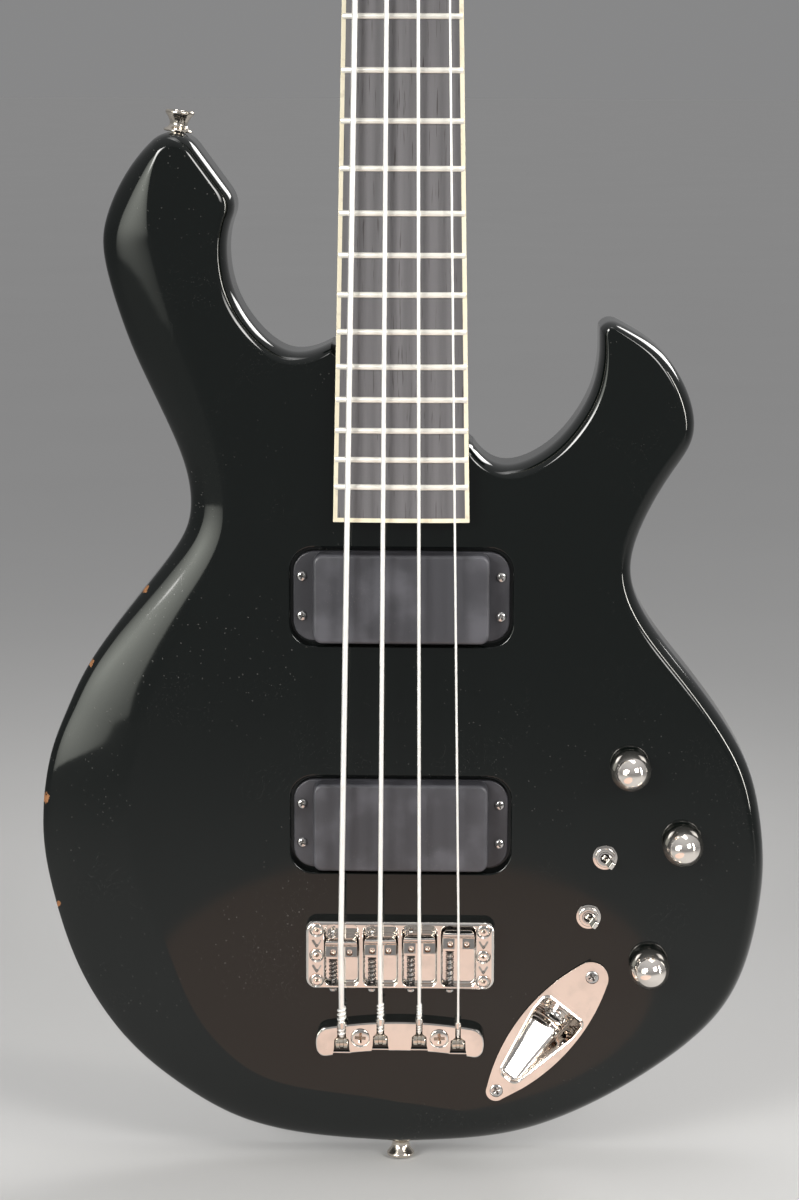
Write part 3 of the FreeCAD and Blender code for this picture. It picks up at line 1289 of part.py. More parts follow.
def output_jack():
    """Barrel socket behind the cup's end wall, with its nut in the cup."""
    face = JACK_WALL_MIDDLE
    into = JACK_OUT * -1
    mouth = face + JACK_OUT * JACK_THREAD_LENGTH
    thread = bar(mouth, into, JACK_RADIUS, JACK_THREAD_LENGTH + CUP_WALL, ROUND_SIDES)
    case = bar(face + into * CUP_WALL, into, JACK_CASE_RADIUS, JACK_CASE_LENGTH, ROUND_SIDES)
    depth = JACK_THREAD_LENGTH + CUP_WALL + JACK_CASE_LENGTH - 2
    socket = rod(mouth, into, JACK_BORE, depth)
    barrel = thread.fuse(case).cut(socket)
    fixing = hex_nut(face, JACK_OUT, JACK_NUT_RADIUS, JACK_NUT_HEIGHT, JACK_RADIUS + SCREW_GAP)
    return jack_frame(barrel), jack_frame(fixing)


def jack_rout():
    """Room in the body for the cup and the barrel."""
    below = block(-20, 120, -40, 40, -60, 1)
    cup = jack_cup(CUP_WALL + 0.5).common(below)
    length = CUP_WALL + JACK_CASE_LENGTH + 1.5
    barrel = bar(JACK_WALL_MIDDLE, JACK_OUT * -1, JACK_CASE_RADIUS + 0.8, length, ROUND_SIDES)
    return jack_frame(cup.fuse(barrel))


HORN_RUN = Vec(HORN_SEAT[1][0] - HORN_SEAT[0][0], 0, HORN_SEAT[1][1] - HORN_SEAT[0][1])
HORN_AXIS = Vec(HORN_RUN.z, 0, -HORN_RUN.x).normalize()
HORN_CENTRE = Vec((HORN_SEAT[0][0] + HORN_SEAT[1][0]) / 2, 0, (HORN_SEAT[0][1] + HORN_SEAT[1][1]) / 2)
BUTTON_SEATS = ((Vec(0, 0, 0), UPWARD * -1), (HORN_CENTRE, HORN_AXIS))


def strap_buttons():
    """Two flared strap buttons."""
    steps = [(BUTTON_RADIUS, 0), (BUTTON_RADIUS, 1.2), (BUTTON_NECK, 2.6), (BUTTON_NECK, 4.6),
             (BUTTON_RADIUS, BUTTON_HEIGHT - 1.6), (BUTTON_RADIUS, BUTTON_HEIGHT)]
    return [turned(steps, seat, out, KNOB_SIDES) for seat, out in BUTTON_SEATS]


def strap_button_screws():
    """A wood screw through each strap button, and its hole."""
    solids = []
    holes = []
    for seat, out in BUTTON_SEATS:
        top = seat + out * BUTTON_HEIGHT
        length = BUTTON_HEIGHT + BUTTON_SCREW_LENGTH
        solid, hole = flat_screw(top, out * -1, 4.0, BUTTON_SCREW_RADIUS, length)
        solids.append(solid)
        holes.append(hole)
    return solids, holes


def neck_screw_places():
    """Four screws through the body's back into the heel."""
    return [Vec(side * NECK_SCREW_X, BACK, BOARD_END_Z + rise) for side in (-1, 1)
            for rise in (NECK_SCREW_LOW, NECK_SCREW_HIGH)]


def neck_screws():
    """Neck screws, the metal ferrules that their heads sink into, and the holes for both."""
    screws = []
    ferrules = []
    holes = []
    for seat in neck_screw_places():
        sunk = seat + FORWARD * FERRULE_SINK
        screw, hole = flat_screw(sunk, FORWARD, NECK_SCREW_HEAD, NECK_SCREW_RADIUS, NECK_SCREW_LENGTH)
        mouth = bar(seat, FORWARD, NECK_SCREW_HEAD + SCREW_GAP, FERRULE_SINK, SCREW_SIDES)
        ferrules.append(bar(seat, FORWARD, FERRULE_RADIUS, FERRULE_DEPTH, ROUND_SIDES).cut([hole, mouth]))
        screws.append(screw)
        well = bar(seat + BACKWARD, FORWARD, FERRULE_RADIUS + SCREW_GAP, FERRULE_DEPTH + 1, ROUND_SIDES)
        holes.append(hole.fuse(well))
    return screws, ferrules, holes


def tuner_case(index):
    """Sealed gear case on the back of the headstock."""
    post, side = post_place(index)
    y = HEADSTOCK_BACK_Y
    half_w = TUNER_CASE_WIDTH / 2
    low = post.z + KEY_OFFSET / 2 - TUNER_CASE_LENGTH / 2
    solid = block(post.x - half_w, post.x + half_w, y, y + TUNER_CASE_DEPTH, low, low + TUNER_CASE_LENGTH)
    solid = solid.makeChamfer(4.0, upright_edges(solid))
    solid = solid.makeChamfer(2.0, edges_at_y(solid, y + TUNER_CASE_DEPTH))
    bore = key_axis(index)
    start = Vec(post.x - side * (half_w - 3), bore.y, bore.z)
    room = KEY_SHAFT_RADIUS + RUNNING_GAP
    solid = solid.cut(clear_bar(start, Vec(side, 0, 0), room, TUNER_CASE_WIDTH, ROUND_SIDES))
    post_end = Vec(post.x, y - 1, post.z)
    return solid.cut(clear_bar(post_end, BACKWARD, POST_RADIUS + RUNNING_GAP, 4, ROUND_SIDES))


def key_axis(index):
    """A point on the axis that a tuner's key turns about."""
    post, side = post_place(index)
    y = HEADSTOCK_BACK_Y + TUNER_CASE_DEPTH / 2 + 0.8
    return Vec(post.x + side * TUNER_CASE_WIDTH / 2, y, post.z + KEY_OFFSET)


def tuner_key(index):
    """Worm shaft and the eight-sided key on its end."""
    post, side = post_place(index)
    axis = key_axis(index)
    out = Vec(side, 0, 0)
    inner = Vec(post.x - side * (TUNER_CASE_WIDTH / 2 - 3.1), axis.y, axis.z)
    shaft = rod(inner, out, KEY_SHAFT_RADIUS, TUNER_CASE_WIDTH - 3.1 + KEY_SHAFT_LENGTH)
    collar = bar(axis + out * 0.4, out, KEY_SHAFT_RADIUS + 1.6, 2.2, ROUND_SIDES)
    middle = axis + out * (KEY_SHAFT_LENGTH + KEY_DEPTH / 2 - 4)
    half_w = KEY_WIDTH / 2
    half_d = KEY_DEPTH / 2
    half_t = KEY_THICKNESS / 2
    paddle = block(middle.x - half_d, middle.x + half_d, middle.y - half_t, middle.y + half_t,
                   middle.z - half_w, middle.z + half_w)
    paddle = paddle.makeChamfer(half_d * 0.6, upright_edges(paddle))
    rims = edges_at_y(paddle, middle.y - half_t) + edges_at_y(paddle, middle.y + half_t)
    paddle = paddle.makeChamfer(half_t * 0.5, rims)
    return shaft.fuse([collar, paddle])


def tuner_post(index):
    """String post with a wide cap and a slot across its top, on a round journal."""
    post, side = post_place(index)
    inside = HEADSTOCK_THICKNESS + 2.6
    journal = rod(post + BACKWARD * inside, FORWARD, POST_RADIUS, inside + BUSH_HEIGHT)
    steps = [(POST_RADIUS, 0), (POST_RADIUS, SPOOL_TOP), (POST_CAP_RADIUS, SPOOL_TOP + 1.5),
             (POST_CAP_RADIUS, POST_HEIGHT - 1), (POST_CAP_RADIUS - 1, POST_HEIGHT)]
    solid = journal.fuse(turned(steps, post, FORWARD, ROUND_SIDES))
    tip = HEADSTOCK_FRONT_Y - POST_HEIGHT
    return solid.cut(block(post.x - 1.4, post.x + 1.4, tip - 1, tip + 4.5, post.z - 8, post.z + 8))


def tuner_bushes():
    """Round bushes in the headstock's front that the posts turn in."""
    solids = []
    sleeve = BUSH_RADIUS - 2
    top = BUSH_DEPTH + BUSH_HEIGHT
    steps = [(sleeve, 0), (sleeve, BUSH_DEPTH), (BUSH_RADIUS, BUSH_DEPTH), (BUSH_RADIUS, top)]
    for index in range(4):
        post, side = post_place(index)
        start = post + BACKWARD * BUSH_DEPTH
        bore = clear_bar(start, FORWARD, POST_RADIUS + RUNNING_GAP, BUSH_DEPTH + BUSH_HEIGHT, ROUND_SIDES)
        solids.append(turned(steps, start, FORWARD, ROUND_SIDES).cut(bore))
    return solids


def tuner_screws():
    """One small screw at the end of each gear case, and its hole."""
    solids = []
    holes = []
    for index in range(4):
        post, side = post_place(index)
        end = post.z + KEY_OFFSET / 2 - TUNER_CASE_LENGTH / 2 - 3.2
        seat = Vec(post.x, HEADSTOCK_BACK_Y + 1.5, end)
        solid, hole = pan_screw(seat, FORWARD, SMALL_HEAD, 1.6, SMALL_SCREW, TUNER_SCREW_LENGTH)
        solids.append(solid)
        holes.append(hole)
    return solids, holes


def tuner_cases():
    """Four gear cases, each with a screw lug."""
    solids = []
    for index in range(4):
        post, side = post_place(index)
        end = post.z + KEY_OFFSET / 2 - TUNER_CASE_LENGTH / 2 - 3.2
        y = HEADSTOCK_BACK_Y
        corners = ((-2, -4), (2, -4), (4.2, -1.8), (4.2, 5), (-4.2, 5), (-4.2, -1.8))
        lug = prism([(post.x + x, end + z) for x, z in corners], y, y + 1.5)
        solids.append(tuner_case(index).fuse(lug))
    return solids


def build():
    """All pieces by node name."""
    nodes = {}
    screw_sets = {
        "bridge_screws": bridge_screws(),
        "tailpiece_screws": tailpiece_screws(),
        "pickup_screws": pickup_screws(),
        "cover_screws": cover_screws(),
        "jack_plate_screws": jack_plate_screws(),
        "strap_button_screws": strap_button_screws(),
        "tuner_screws": tuner_screws(),
    }
    holes = {name: made[1] for name, made in screw_sets.items()}
    nodes["bridge_screws"] = group(screw_sets["bridge_screws"][0] + screw_sets["tailpiece_screws"][0])
    nodes["cover_screws"] = group(screw_sets["cover_screws"][0] + screw_sets["jack_plate_screws"][0])
    for name in ("pickup_screws", "strap_button_screws", "tuner_screws"):
        nodes[name] = group(screw_sets[name][0])
    screws, ferrules, neck_holes = neck_screws()
    nodes["neck_screws"] = group(screws)
    nodes["neck_ferrules"] = group(ferrules)

    rod_part, rod_room = truss_rod()
    nodes["truss_rod"] = rod_part
    bushes = tuner_bushes()
    nodes["tuner_bushes"] = group(bushes)
    cases = tuner_cases()
    nodes["tuner_cases"] = group([case.cut(holes["tuner_screws"]) for case in cases])
    post_bores = []
    for index in range(4):
        post, side = post_place(index)
        bore = clear_bar(post + FORWARD, BACKWARD, POST_RADIUS + 0.4, HEADSTOCK_THICKNESS + 2, ROUND_SIDES)
        sleeve = bar(post + FORWARD, BACKWARD, BUSH_RADIUS - 2, BUSH_DEPTH + 1, ROUND_SIDES)
        post_bores += [bore, sleeve]
        nodes["tuner_post_" + STRING_NAMES[index]] = tuner_post(index)
        nodes["tuner_key_" + STRING_NAMES[index]] = tuner_key(index)
    neck_tools = neck_holes + [rod_room] + post_bores + holes["tuner_screws"] + holes["cover_screws"]
    nodes["neck"] = neck().cut(neck_tools)

    board, binding = fretboard_parts()
    nodes["fretboard"] = board
    nodes["fretboard_binding"] = binding
    nodes["frets"] = frets()
    nodes["nut"] = nut()

    pocket = tapered(BOARD_END_Z - POCKET_CLEARANCE, HEEL_TOP_Z + POCKET_OVERRUN, -POCKET_CLEARANCE,
                     FRONT - 5, FRONT + POCKET_DEPTH)
    routs = [pocket, pickup_rout(0), pickup_rout(1), jack_rout()]
    routs.append(cavity(0, FRONT + FRONT_WALL, BACK + 1))
    routs.append(cavity(-COVER_LEDGE, BACK - COVER_THICKNESS, BACK + 1))
    for x, z in KNOB_PLACES:
        hole = Vec(x, FRONT - 1, z)
        routs.append(bar(hole, BACKWARD, POT_BUSH_RADIUS + SCREW_GAP, FRONT_WALL + 2, ROUND_SIDES))
    for x, z in TOGGLE_PLACES:
        hole = Vec(x, FRONT - 1, z)
        routs.append(bar(hole, BACKWARD, TOGGLE_BUSH_RADIUS + SCREW_GAP, FRONT_WALL + 2, ROUND_SIDES))
    body_tools = routs + neck_holes
    for name in ("bridge_screws", "tailpiece_screws", "pickup_screws", "cover_screws", "jack_plate_screws",
                 "strap_button_screws"):
        body_tools += holes[name]
    nodes["body"] = body_blank().cut(body_tools)
    cover = cavity(-COVER_LEDGE + COVER_GAP, BACK - COVER_THICKNESS, BACK)
    nodes["control_cover"] = cover.cut(holes["cover_screws"])
    nodes["truss_rod_cover"] = truss_rod_cover().cut(holes["cover_screws"])

    nodes["neck_pickup_cover"] = pickup_cover(0).cut(holes["pickup_screws"])
    nodes["bridge_pickup_cover"] = pickup_cover(1).cut(holes["pickup_screws"])
    nodes["pickup_coils"], nodes["pickup_magnets"] = pickup_insides()

    nodes["bridge_tray"] = bridge_tray().cut(holes["bridge_screws"])
    nodes["tailpiece"] = tailpiece().cut(holes["tailpiece_screws"])
    nodes["string_ball_ends"] = string_ball_ends()
    for index, name in enumerate(STRING_NAMES):
        nodes["saddle_" + name] = saddle(index)
        nodes["intonation_screw_" + name] = intonation_screw(index)
        nodes["intonation_spring_" + name] = intonation_spring(index)
        nodes["string_" + name] = bass_string(index)

    for index, name in enumerate(KNOB_NAMES):
        nodes["knob_" + name] = control_knob(index)
    nodes["potentiometers"] = potentiometers()
    nodes["toggle_switches"] = toggle_switches()
    for index, name in enumerate(TOGGLE_NAMES):
        nodes["toggle_lever_" + name] = toggle_lever(index)

    nodes["jack_plate"] = jack_plate()
    nodes["output_jack"], jack_nut = output_jack()
    nodes["control_nuts"] = group(control_nuts() + [jack_nut])
    buttons = strap_buttons()
    nodes["strap_buttons"] = group([button.cut(holes["strap_button_screws"]) for button in buttons])
    return nodes


os.makedirs("parts", exist_ok=True)
for node_name, shape in build().items():
    print(node_name, len(shape.Solids), "solids", "valid" if shape.isValid() else "NOT VALID",
          round(shape.Volume / 1000, 2), "cm3")
    shape.exportStep("parts/" + node_name + ".step")
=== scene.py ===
"""Looks of a gloss black four-string electric bass guitar with chrome hardware."""
import math

import bmesh
import bpy
import numpy as np
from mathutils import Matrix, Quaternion, Vector


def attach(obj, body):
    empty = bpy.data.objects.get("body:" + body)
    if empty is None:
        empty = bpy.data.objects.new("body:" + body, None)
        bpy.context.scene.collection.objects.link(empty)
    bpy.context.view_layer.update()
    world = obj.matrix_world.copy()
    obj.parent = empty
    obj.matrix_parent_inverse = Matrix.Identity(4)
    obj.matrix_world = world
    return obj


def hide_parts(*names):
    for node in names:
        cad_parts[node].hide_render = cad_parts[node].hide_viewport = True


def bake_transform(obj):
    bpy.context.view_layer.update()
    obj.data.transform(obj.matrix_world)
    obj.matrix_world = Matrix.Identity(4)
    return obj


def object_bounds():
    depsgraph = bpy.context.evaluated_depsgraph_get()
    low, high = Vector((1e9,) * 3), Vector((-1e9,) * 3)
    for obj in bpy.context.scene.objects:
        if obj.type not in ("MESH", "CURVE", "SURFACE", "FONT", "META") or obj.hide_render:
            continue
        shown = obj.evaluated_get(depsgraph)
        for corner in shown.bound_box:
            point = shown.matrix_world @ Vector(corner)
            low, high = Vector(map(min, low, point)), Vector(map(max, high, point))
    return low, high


bl_info = {
    "name": "Electric Bass Guitar",
    "version": (1, 0, 0),
    "blender": (4, 5, 0),
    "location": "View3D > Sidebar > Bass",
    "description": "Builds the lacquered body, neck, strings and chrome hardware of an electric bass",
    "category": "Add Mesh",
}

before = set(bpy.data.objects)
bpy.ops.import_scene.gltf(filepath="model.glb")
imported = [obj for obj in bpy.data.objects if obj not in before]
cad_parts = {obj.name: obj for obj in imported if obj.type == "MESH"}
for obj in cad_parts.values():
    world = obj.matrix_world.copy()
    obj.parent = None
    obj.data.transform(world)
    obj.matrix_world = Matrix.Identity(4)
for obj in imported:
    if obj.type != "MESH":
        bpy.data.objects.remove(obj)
cad_low, cad_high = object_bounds()

MM = 0.001
STRINGS = ("e", "a", "d", "g")
OUT = Vector((0, -1, 0))
UP = Vector((0, 0, 1))

# Places and sizes in millimetres, as in the solids
FRONT, BACK = -21.0, 21.0
SCALE_LENGTH, SADDLE_LINE, FRET_COUNT = 863.6, 109.5, 24
NUT_Z, NUT_HALF = 973.1, 20.25
BOARD_END, BOARD_HALF, BOARD_RADIUS = 308.8, 31.85, 305
BOARD_BACK, BOARD_TOP, FRET_TOP = -24.3, -30.3, -31.5
HEAD_FRONT, HEAD_BACK, HEAD_FOOT, HEAD_LENGTH = -20.3, -5.3, 987.1, 178
POST_RADIUS, POST_BORE, KEY_BORE = 4.5, 4.62, 2.72
WIND_Y = HEAD_FRONT - 11.5
STRING_PITCH, NUT_PITCH = 18.65, 10.1
GAUGES = (2.67, 2.16, 1.65, 1.14)
SADDLES = (107.0, 108.0, 109.0, 111.5)
SADDLE_CREST = FRONT - 14
INTONATION_X, INTONATION_Y = 4.2, FRONT - 4.6
PICKUPS = (271.9, 161.7)
TRAY_Z, TRAY_HALF = 99.2, 16.8
CHANNEL_HALF = 15.0
TRAY_SCREW_X, TRAY_SCREW_STEP = 39.9, 12.4
TAIL_Z, TAIL_HALF, TAIL_RISE, TAIL_SAG = 59, 38.5, 7.4, 3.7
TAIL_SCREW_X = NECK_SCREW_X = 19
KNOBS = ((109.0, 190.5), (134.3, 154.0), (119.3, 93.6))
TOGGLES = ((97.6, 146.7), (90.1, 117.5))
CAVITY = ((79, 79), (136, 79), (153, 138), (153, 166), (127, 208), (93, 208), (79, 162))
CAVITY_MIDDLE = tuple(sum(places) / len(CAVITY) for places in zip(*CAVITY))
COVER_CORNER = 9
JACK_SPAN, JACK_SLOPE = 73.15, math.radians(28)
JACK_FOOT = Vector((46.6, FRONT, 30.4))
JACK_RUN = Vector((45.6, 0, 57.2)).normalized()
JACK_ACROSS = OUT.cross(JACK_RUN)
JACK_OUT = OUT * math.sin(JACK_SLOPE) - JACK_RUN * math.cos(JACK_SLOPE)
JACK_FACE = (47.62, 0, -8.99)

# Rounded boxes of the pickups and their openings: width, length and corner
PICKUP_BED, PICKUP_WELL = (105.2, 47.1, 11), (85, 43, 4)
PICKUP_EARS, PICKUP_SHELL = (102.6, 43, 10), (83, 42.4, 4.4)

# Corners of the body outline: X, Z and the width of the front edge's roll, in millimetres
BASS_CHEEK = (-33.2, 391.5, 4)
HORN_BEAK = (-76.3, 456, 6)
HORN_INNER = (-99.5, 487.5, 6)
HORN_OUTER = (-111.5, 488.9, 6)
TAIL_SEAT = (0, 0, 24)
TREBLE_TIP = (95, 403, 2.8)
TREBLE_CHEEK = (33.2, 344, 4)
OUTLINE = (
    (BASS_CHEEK, (-42.5, 387.6, 5), (-53, 387.2, 6), (-64.8, 394.3, 6.5), (-77, 411, 6.5),
     (-81.6, 428, 6), (-81.3, 442, 5.5), HORN_BEAK),
    (HORN_BEAK, HORN_INNER),
    (HORN_INNER, HORN_OUTER),
    (HORN_OUTER, (-129.2, 469, 15), (-138, 450, 23), (-139.9, 433, 27), (-131.8, 401.4, 28),
     (-123.4, 380, 26), (-109.5, 350, 22), (-101.4, 327, 19), (-100.8, 308, 20), (-107, 294, 22),
     (-122.5, 273.3, 26), (-149, 237.3, 34), (-160, 215, 38), (-168.5, 192, 41), (-172.7, 155, 43),
     (-168.2, 124, 44), (-155.5, 85, 46), (-133.2, 50.4, 40), (-110.5, 30, 33), (-80, 12, 28),
     (-42, 2.9, 27), TAIL_SEAT),
    (TAIL_SEAT, (30, 1.9, 18), (58.4, 6.8, 12), (88, 18.5, 8), (120, 37.5, 7), (151, 64, 7),
     (166.6, 93, 7), (173.15, 127, 7), (173.65, 148, 7), (170.1, 174, 7), (161.5, 198, 7),
     (140.9, 228.8, 7), (124.8, 249, 7), (113.5, 266, 7), (108.2, 285, 7), (114.5, 308.4, 7),
     (126.8, 330.3, 7), (135.6, 345, 6.5), (136.6, 358, 6.5), (131, 374, 6), (120, 388.6, 5),
     (108, 397, 4), (99.5, 401.5, 3.2), TREBLE_TIP),
    (TREBLE_TIP, (92.3, 400.2, 3), (91.9, 388.9, 4.5), (89.4, 372.3, 6), (82, 357, 6.5),
     (68.5, 342, 6.5), (51, 334, 6), (40.5, 336.5, 5), TREBLE_CHEEK),
    (TREBLE_CHEEK, BASS_CHEEK),
)
# How far from each corner its rounding starts, in the order of the curves' ends
EASES = (7.5, 5.2, 5.2, 0, 4.5, 0, 0)
# Worn spots on the bass-side edge: X, Z and reach
CHIPS = ((-171.6, 171, 2.6), (-121.8, 274, 2.2), (-148.6, 237.6, 1.8), (-166.5, 118, 1.5))

FINISHES = {}


class BassSizes(bpy.types.PropertyGroup):
    """Sizes of the body, strings and hardware"""
    outline_step: bpy.props.FloatProperty(
        name="Outline step", description="Spacing of the points along the body's edge",
        default=0.0016, min=0.001, unit="LENGTH")
    front_roll: bpy.props.FloatProperty(
        name="Front roll", description="Depth of the rounding along the front edge",
        default=0.012, min=0.001, unit="LENGTH")
    back_roll: bpy.props.FloatProperty(
        name="Back roll", description="Depth and width of the rounding along the back edge",
        default=0.008, min=0.001, unit="LENGTH")
    rim: bpy.props.FloatProperty(
        name="Rout rim", description="Rounded lacquer rim of the pickup openings",
        default=0.0009, min=0.0001, unit="LENGTH")
    fret_crown: bpy.props.FloatProperty(
        name="Fret crown", description="Height of the frets above the board",
        default=0.0012, min=0.0004, max=0.0012, unit="LENGTH")
    spring_wire: bpy.props.FloatProperty(
        name="Spring wire", description="Thickness of the springs' wire",
        default=0.00056, min=0.0002, unit="LENGTH")
    spring_curls: bpy.props.IntProperty(
        name="Spring curls", description="Turns of each intonation spring", default=8, min=4, max=14)


class BassColours(bpy.types.PropertyGroup):
    """Colours of the finishes"""
    lacquer: bpy.props.FloatVectorProperty(
        name="Lacquer", description="Colour of the gloss lacquer", subtype="COLOR", size=4,
        default=(0.002, 0.0031, 0.0028, 1), min=0, max=1)
    wood: bpy.props.FloatVectorProperty(
        name="Bare wood", description="Wood that shows where the lacquer is chipped",
        subtype="COLOR", size=4, default=(0.33, 0.14, 0.05, 1), min=0, max=1)
    board: bpy.props.FloatVectorProperty(
        name="Fingerboard", description="Dark wood of the fingerboard", subtype="COLOR", size=4,
        default=(0.062, 0.0595, 0.063, 1), min=0, max=1)
    ivory: bpy.props.FloatVectorProperty(
        name="Binding", description="Binding and nut", subtype="COLOR", size=4,
        default=(0.8, 0.76, 0.62, 1), min=0, max=1)
    chrome: bpy.props.FloatVectorProperty(
        name="Chrome", description="Plated metal of the hardware", subtype="COLOR", size=4,
        default=(0.83, 0.785, 0.74, 1), min=0, max=1)
    plastic: bpy.props.FloatVectorProperty(
        name="Pickup plastic", description="Satin plastic of the pickups", subtype="COLOR", size=4,
        default=(0.038, 0.038, 0.044, 1), min=0, max=1)
    floor: bpy.props.FloatVectorProperty(
        name="Floor", description="Pale floor under the instrument", subtype="COLOR", size=4,
        default=(0.5, 0.498, 0.496, 1), min=0, max=1)


class Value:
    """A shader socket that takes part in sums like a number."""

    def __init__(self, paint, socket):
        self.paint = paint
        self.socket = socket

    def sum(self, operation, other):
        return self.paint.node("ShaderNodeMath", {"operation": operation}, {0: self, 1: other})

    def __add__(self, other):
        return self.sum("ADD", other)

    def __sub__(self, other):
        return self.sum("SUBTRACT", other)

    def __mul__(self, other):
        return self.sum("MULTIPLY", other)

    __radd__ = __add__

    def larger(self, other):
        return self.sum("MAXIMUM", other)

    def smaller(self, other):
        return self.sum("MINIMUM", other)


class Paint:
    """One finish: a Principled shader and the nodes that feed it."""

    def __init__(self, name):
        self.material = bpy.data.materials.new(name)
        self.material.use_nodes = True
        self.tree = self.material.node_tree
        self.shader = self.tree.nodes["Principled BSDF"]
        self.place = self.node("ShaderNodeTexCoord", out="Object")
        FINISHES[name] = self.material

    def feed(self, socket, value):
        """A link or a plain value into a socket."""
        if isinstance(value, Value):
            self.tree.links.new(value.socket, socket)
        else:
            socket.default_value = value

    def node(self, kind, settings=None, sockets=None, out=0):
        """A new node, set and fed; gives one of its outputs."""
        made = self.tree.nodes.new(kind)
        for name, value in (settings or {}).items():
            setattr(made, name, value)
        for key, value in (sockets or {}).items():
            self.feed(made.inputs[key], value)
        return Value(self, made.outputs[out])

    def noise(self, scale, detail, stretch=None):
        """Cloudy pattern between 0 and 1; a stretch sets its fineness along each axis."""
        place = self.place
        if stretch:
            place = self.node("ShaderNodeMapping", None, {"Vector": place, "Scale": stretch})
        return self.node("ShaderNodeTexNoise", None, {"Vector": place, "Scale": scale, "Detail": detail})

    def grit(self, scale, reach, fade):
        """Scattered round specks."""
        cell = self.node("ShaderNodeTexVoronoi", None, {"Vector": self.place, "Scale": scale})
        return self.between(cell, fade, reach)

    def between(self, value, low, high):
        """0 at low, 1 at high and smooth between them."""
        return self.node("ShaderNodeMapRange", {"interpolation_type": "SMOOTHSTEP"},
                         {"Value": value, "From Min": low, "From Max": high})

    def mix(self, amount, first, second):
        """Colour that goes from the first to the second."""
        return self.node("ShaderNodeMix", {"data_type": "RGBA"}, {0: amount, 6: first, 7: second}, 2)

    def distance(self, point):
        """Distance of the surface from a point."""
        return self.node("ShaderNodeVectorMath", {"operation": "DISTANCE"},
                         {0: self.place, 1: point}, "Value")

    def bump(self, height, strength, depth):
        """Surface relief from a height."""
        return self.node("ShaderNodeBump", None,
                         {"Height": height, "Strength": strength, "Distance": depth})

    def finish(self, **sockets):
        """Feed the shader; the names are its sockets in lower case."""
        for name, value in sockets.items():
            self.feed(self.shader.inputs[name.replace("_", " ").title()], value)
        return self.material


def toned(colour, factor):
    """A colour made paler or darker."""
    return tuple(min(1, factor * v) for v in colour[:3]) + (1,)


def lacquer_finish(colours):
    """Polished black lacquer with dust, hairlines and a few chips down to the wood."""
    paint = Paint("gloss_lacquer")
    gathered = paint.between(paint.noise(13, 3), 0.5, 0.68)
    dust = paint.grit(330, 0.05, 0.14) * gathered * 0.4
    fine_dust = paint.grit(900, 0.07, 0.18) * paint.between(paint.noise(30, 2), 0.5, 0.72) * 0.2
    hairlines = paint.between(paint.noise(1, 3, (900, 60, 42)), 0.66, 0.74) * 0.4
    cross_lines = paint.between(paint.noise(1, 3, (38, 60, 1100)), 0.68, 0.76) * 0.3
    smears = paint.noise(16, 4)
    ragged = (paint.noise(420, 3) - 0.5) * 0.005
    chips = None
    for x, z, reach in CHIPS:
        spot = paint.distance((x * MM, -0.0105, z * MM)) + ragged
        mark = paint.between(spot, reach * 1.15 * MM, reach * 0.85 * MM)
        chips = mark if chips is None else chips.larger(mark)
    soil = (dust + fine_dust).smaller(1.0)
    colour = paint.mix(soil, colours.lacquer, (0.17, 0.165, 0.155, 1))
    wood = paint.mix(paint.noise(700, 3), colours.wood, toned(colours.wood, 0.5))
    colour = paint.mix(chips, colour, wood)
    lines = hairlines.larger(cross_lines)
    roughness = 0.035 + smears * 0.06 + lines * 0.12 + soil * 0.45 + chips * 0.5
    relief = paint.noise(75, 1) * 0.25 + soil * 0.25 - chips * 0.9 - lines * 0.04
    paint.finish(base_color=colour, roughness=roughness.smaller(0.9),
                 normal=paint.bump(relief, 0.12, 0.0004))


def board_finish(colours):
    """Dark open-pored wood, grain along the neck."""
    paint = Paint("dark_board")
    bands = paint.noise(1, 4, (260, 260, 7))
    pores = paint.between(paint.noise(1, 2, (1500, 1500, 55)), 0.62, 0.72)
    wear = paint.noise(22, 3)
    colour = paint.mix(bands, colours.board, toned(colours.board, 2.3))
    colour = paint.mix(pores * 0.75, colour, (0.016, 0.011, 0.01, 1))
    roughness = 0.46 + bands * 0.16 + pores * 0.2 - wear * 0.12
    paint.finish(base_color=colour, roughness=roughness,
                 normal=paint.bump(bands * 0.3 - pores, 0.25, 0.0002))


def ivory_finish(colours):
    """Aged cream binding."""
    paint = Paint("ivory")
    age = paint.noise(45, 3)
    soil = paint.between(paint.noise(240, 3), 0.56, 0.74)
    colour = paint.mix(age, colours.ivory, (0.66, 0.58, 0.41, 1))
    colour = paint.mix(soil * 0.25, colour, (0.2, 0.14, 0.08, 1))
    paint.finish(base_color=colour, roughness=0.3 + soil * 0.2,
                 normal=paint.bump(soil, 0.1, 0.0002))


def plated_finish(name, tint, roughness, metallic=1.0):
    """Plated metal with finger smears, hairlines and pits, at a metallic level given for the finish."""
    paint = Paint(name)
    smears = paint.between(paint.noise(95, 4), 0.42, 0.72)
    hairlines = paint.between(paint.noise(1, 2, (1400, 1400, 120)), 0.62, 0.72)
    pits = paint.grit(900, 0.07, 0.17) * paint.between(paint.noise(120, 2), 0.55, 0.7)
    colour = paint.mix(smears * 0.3 + pits * 0.5, tint, toned(tint, 0.62))
    rough = roughness + smears * 0.09 + hairlines * 0.06 + pits * 0.25
    paint.finish(base_color=colour, metallic=metallic, roughness=rough,
                 normal=paint.bump(hairlines * 0.3 - pits, 0.06, 0.0001))


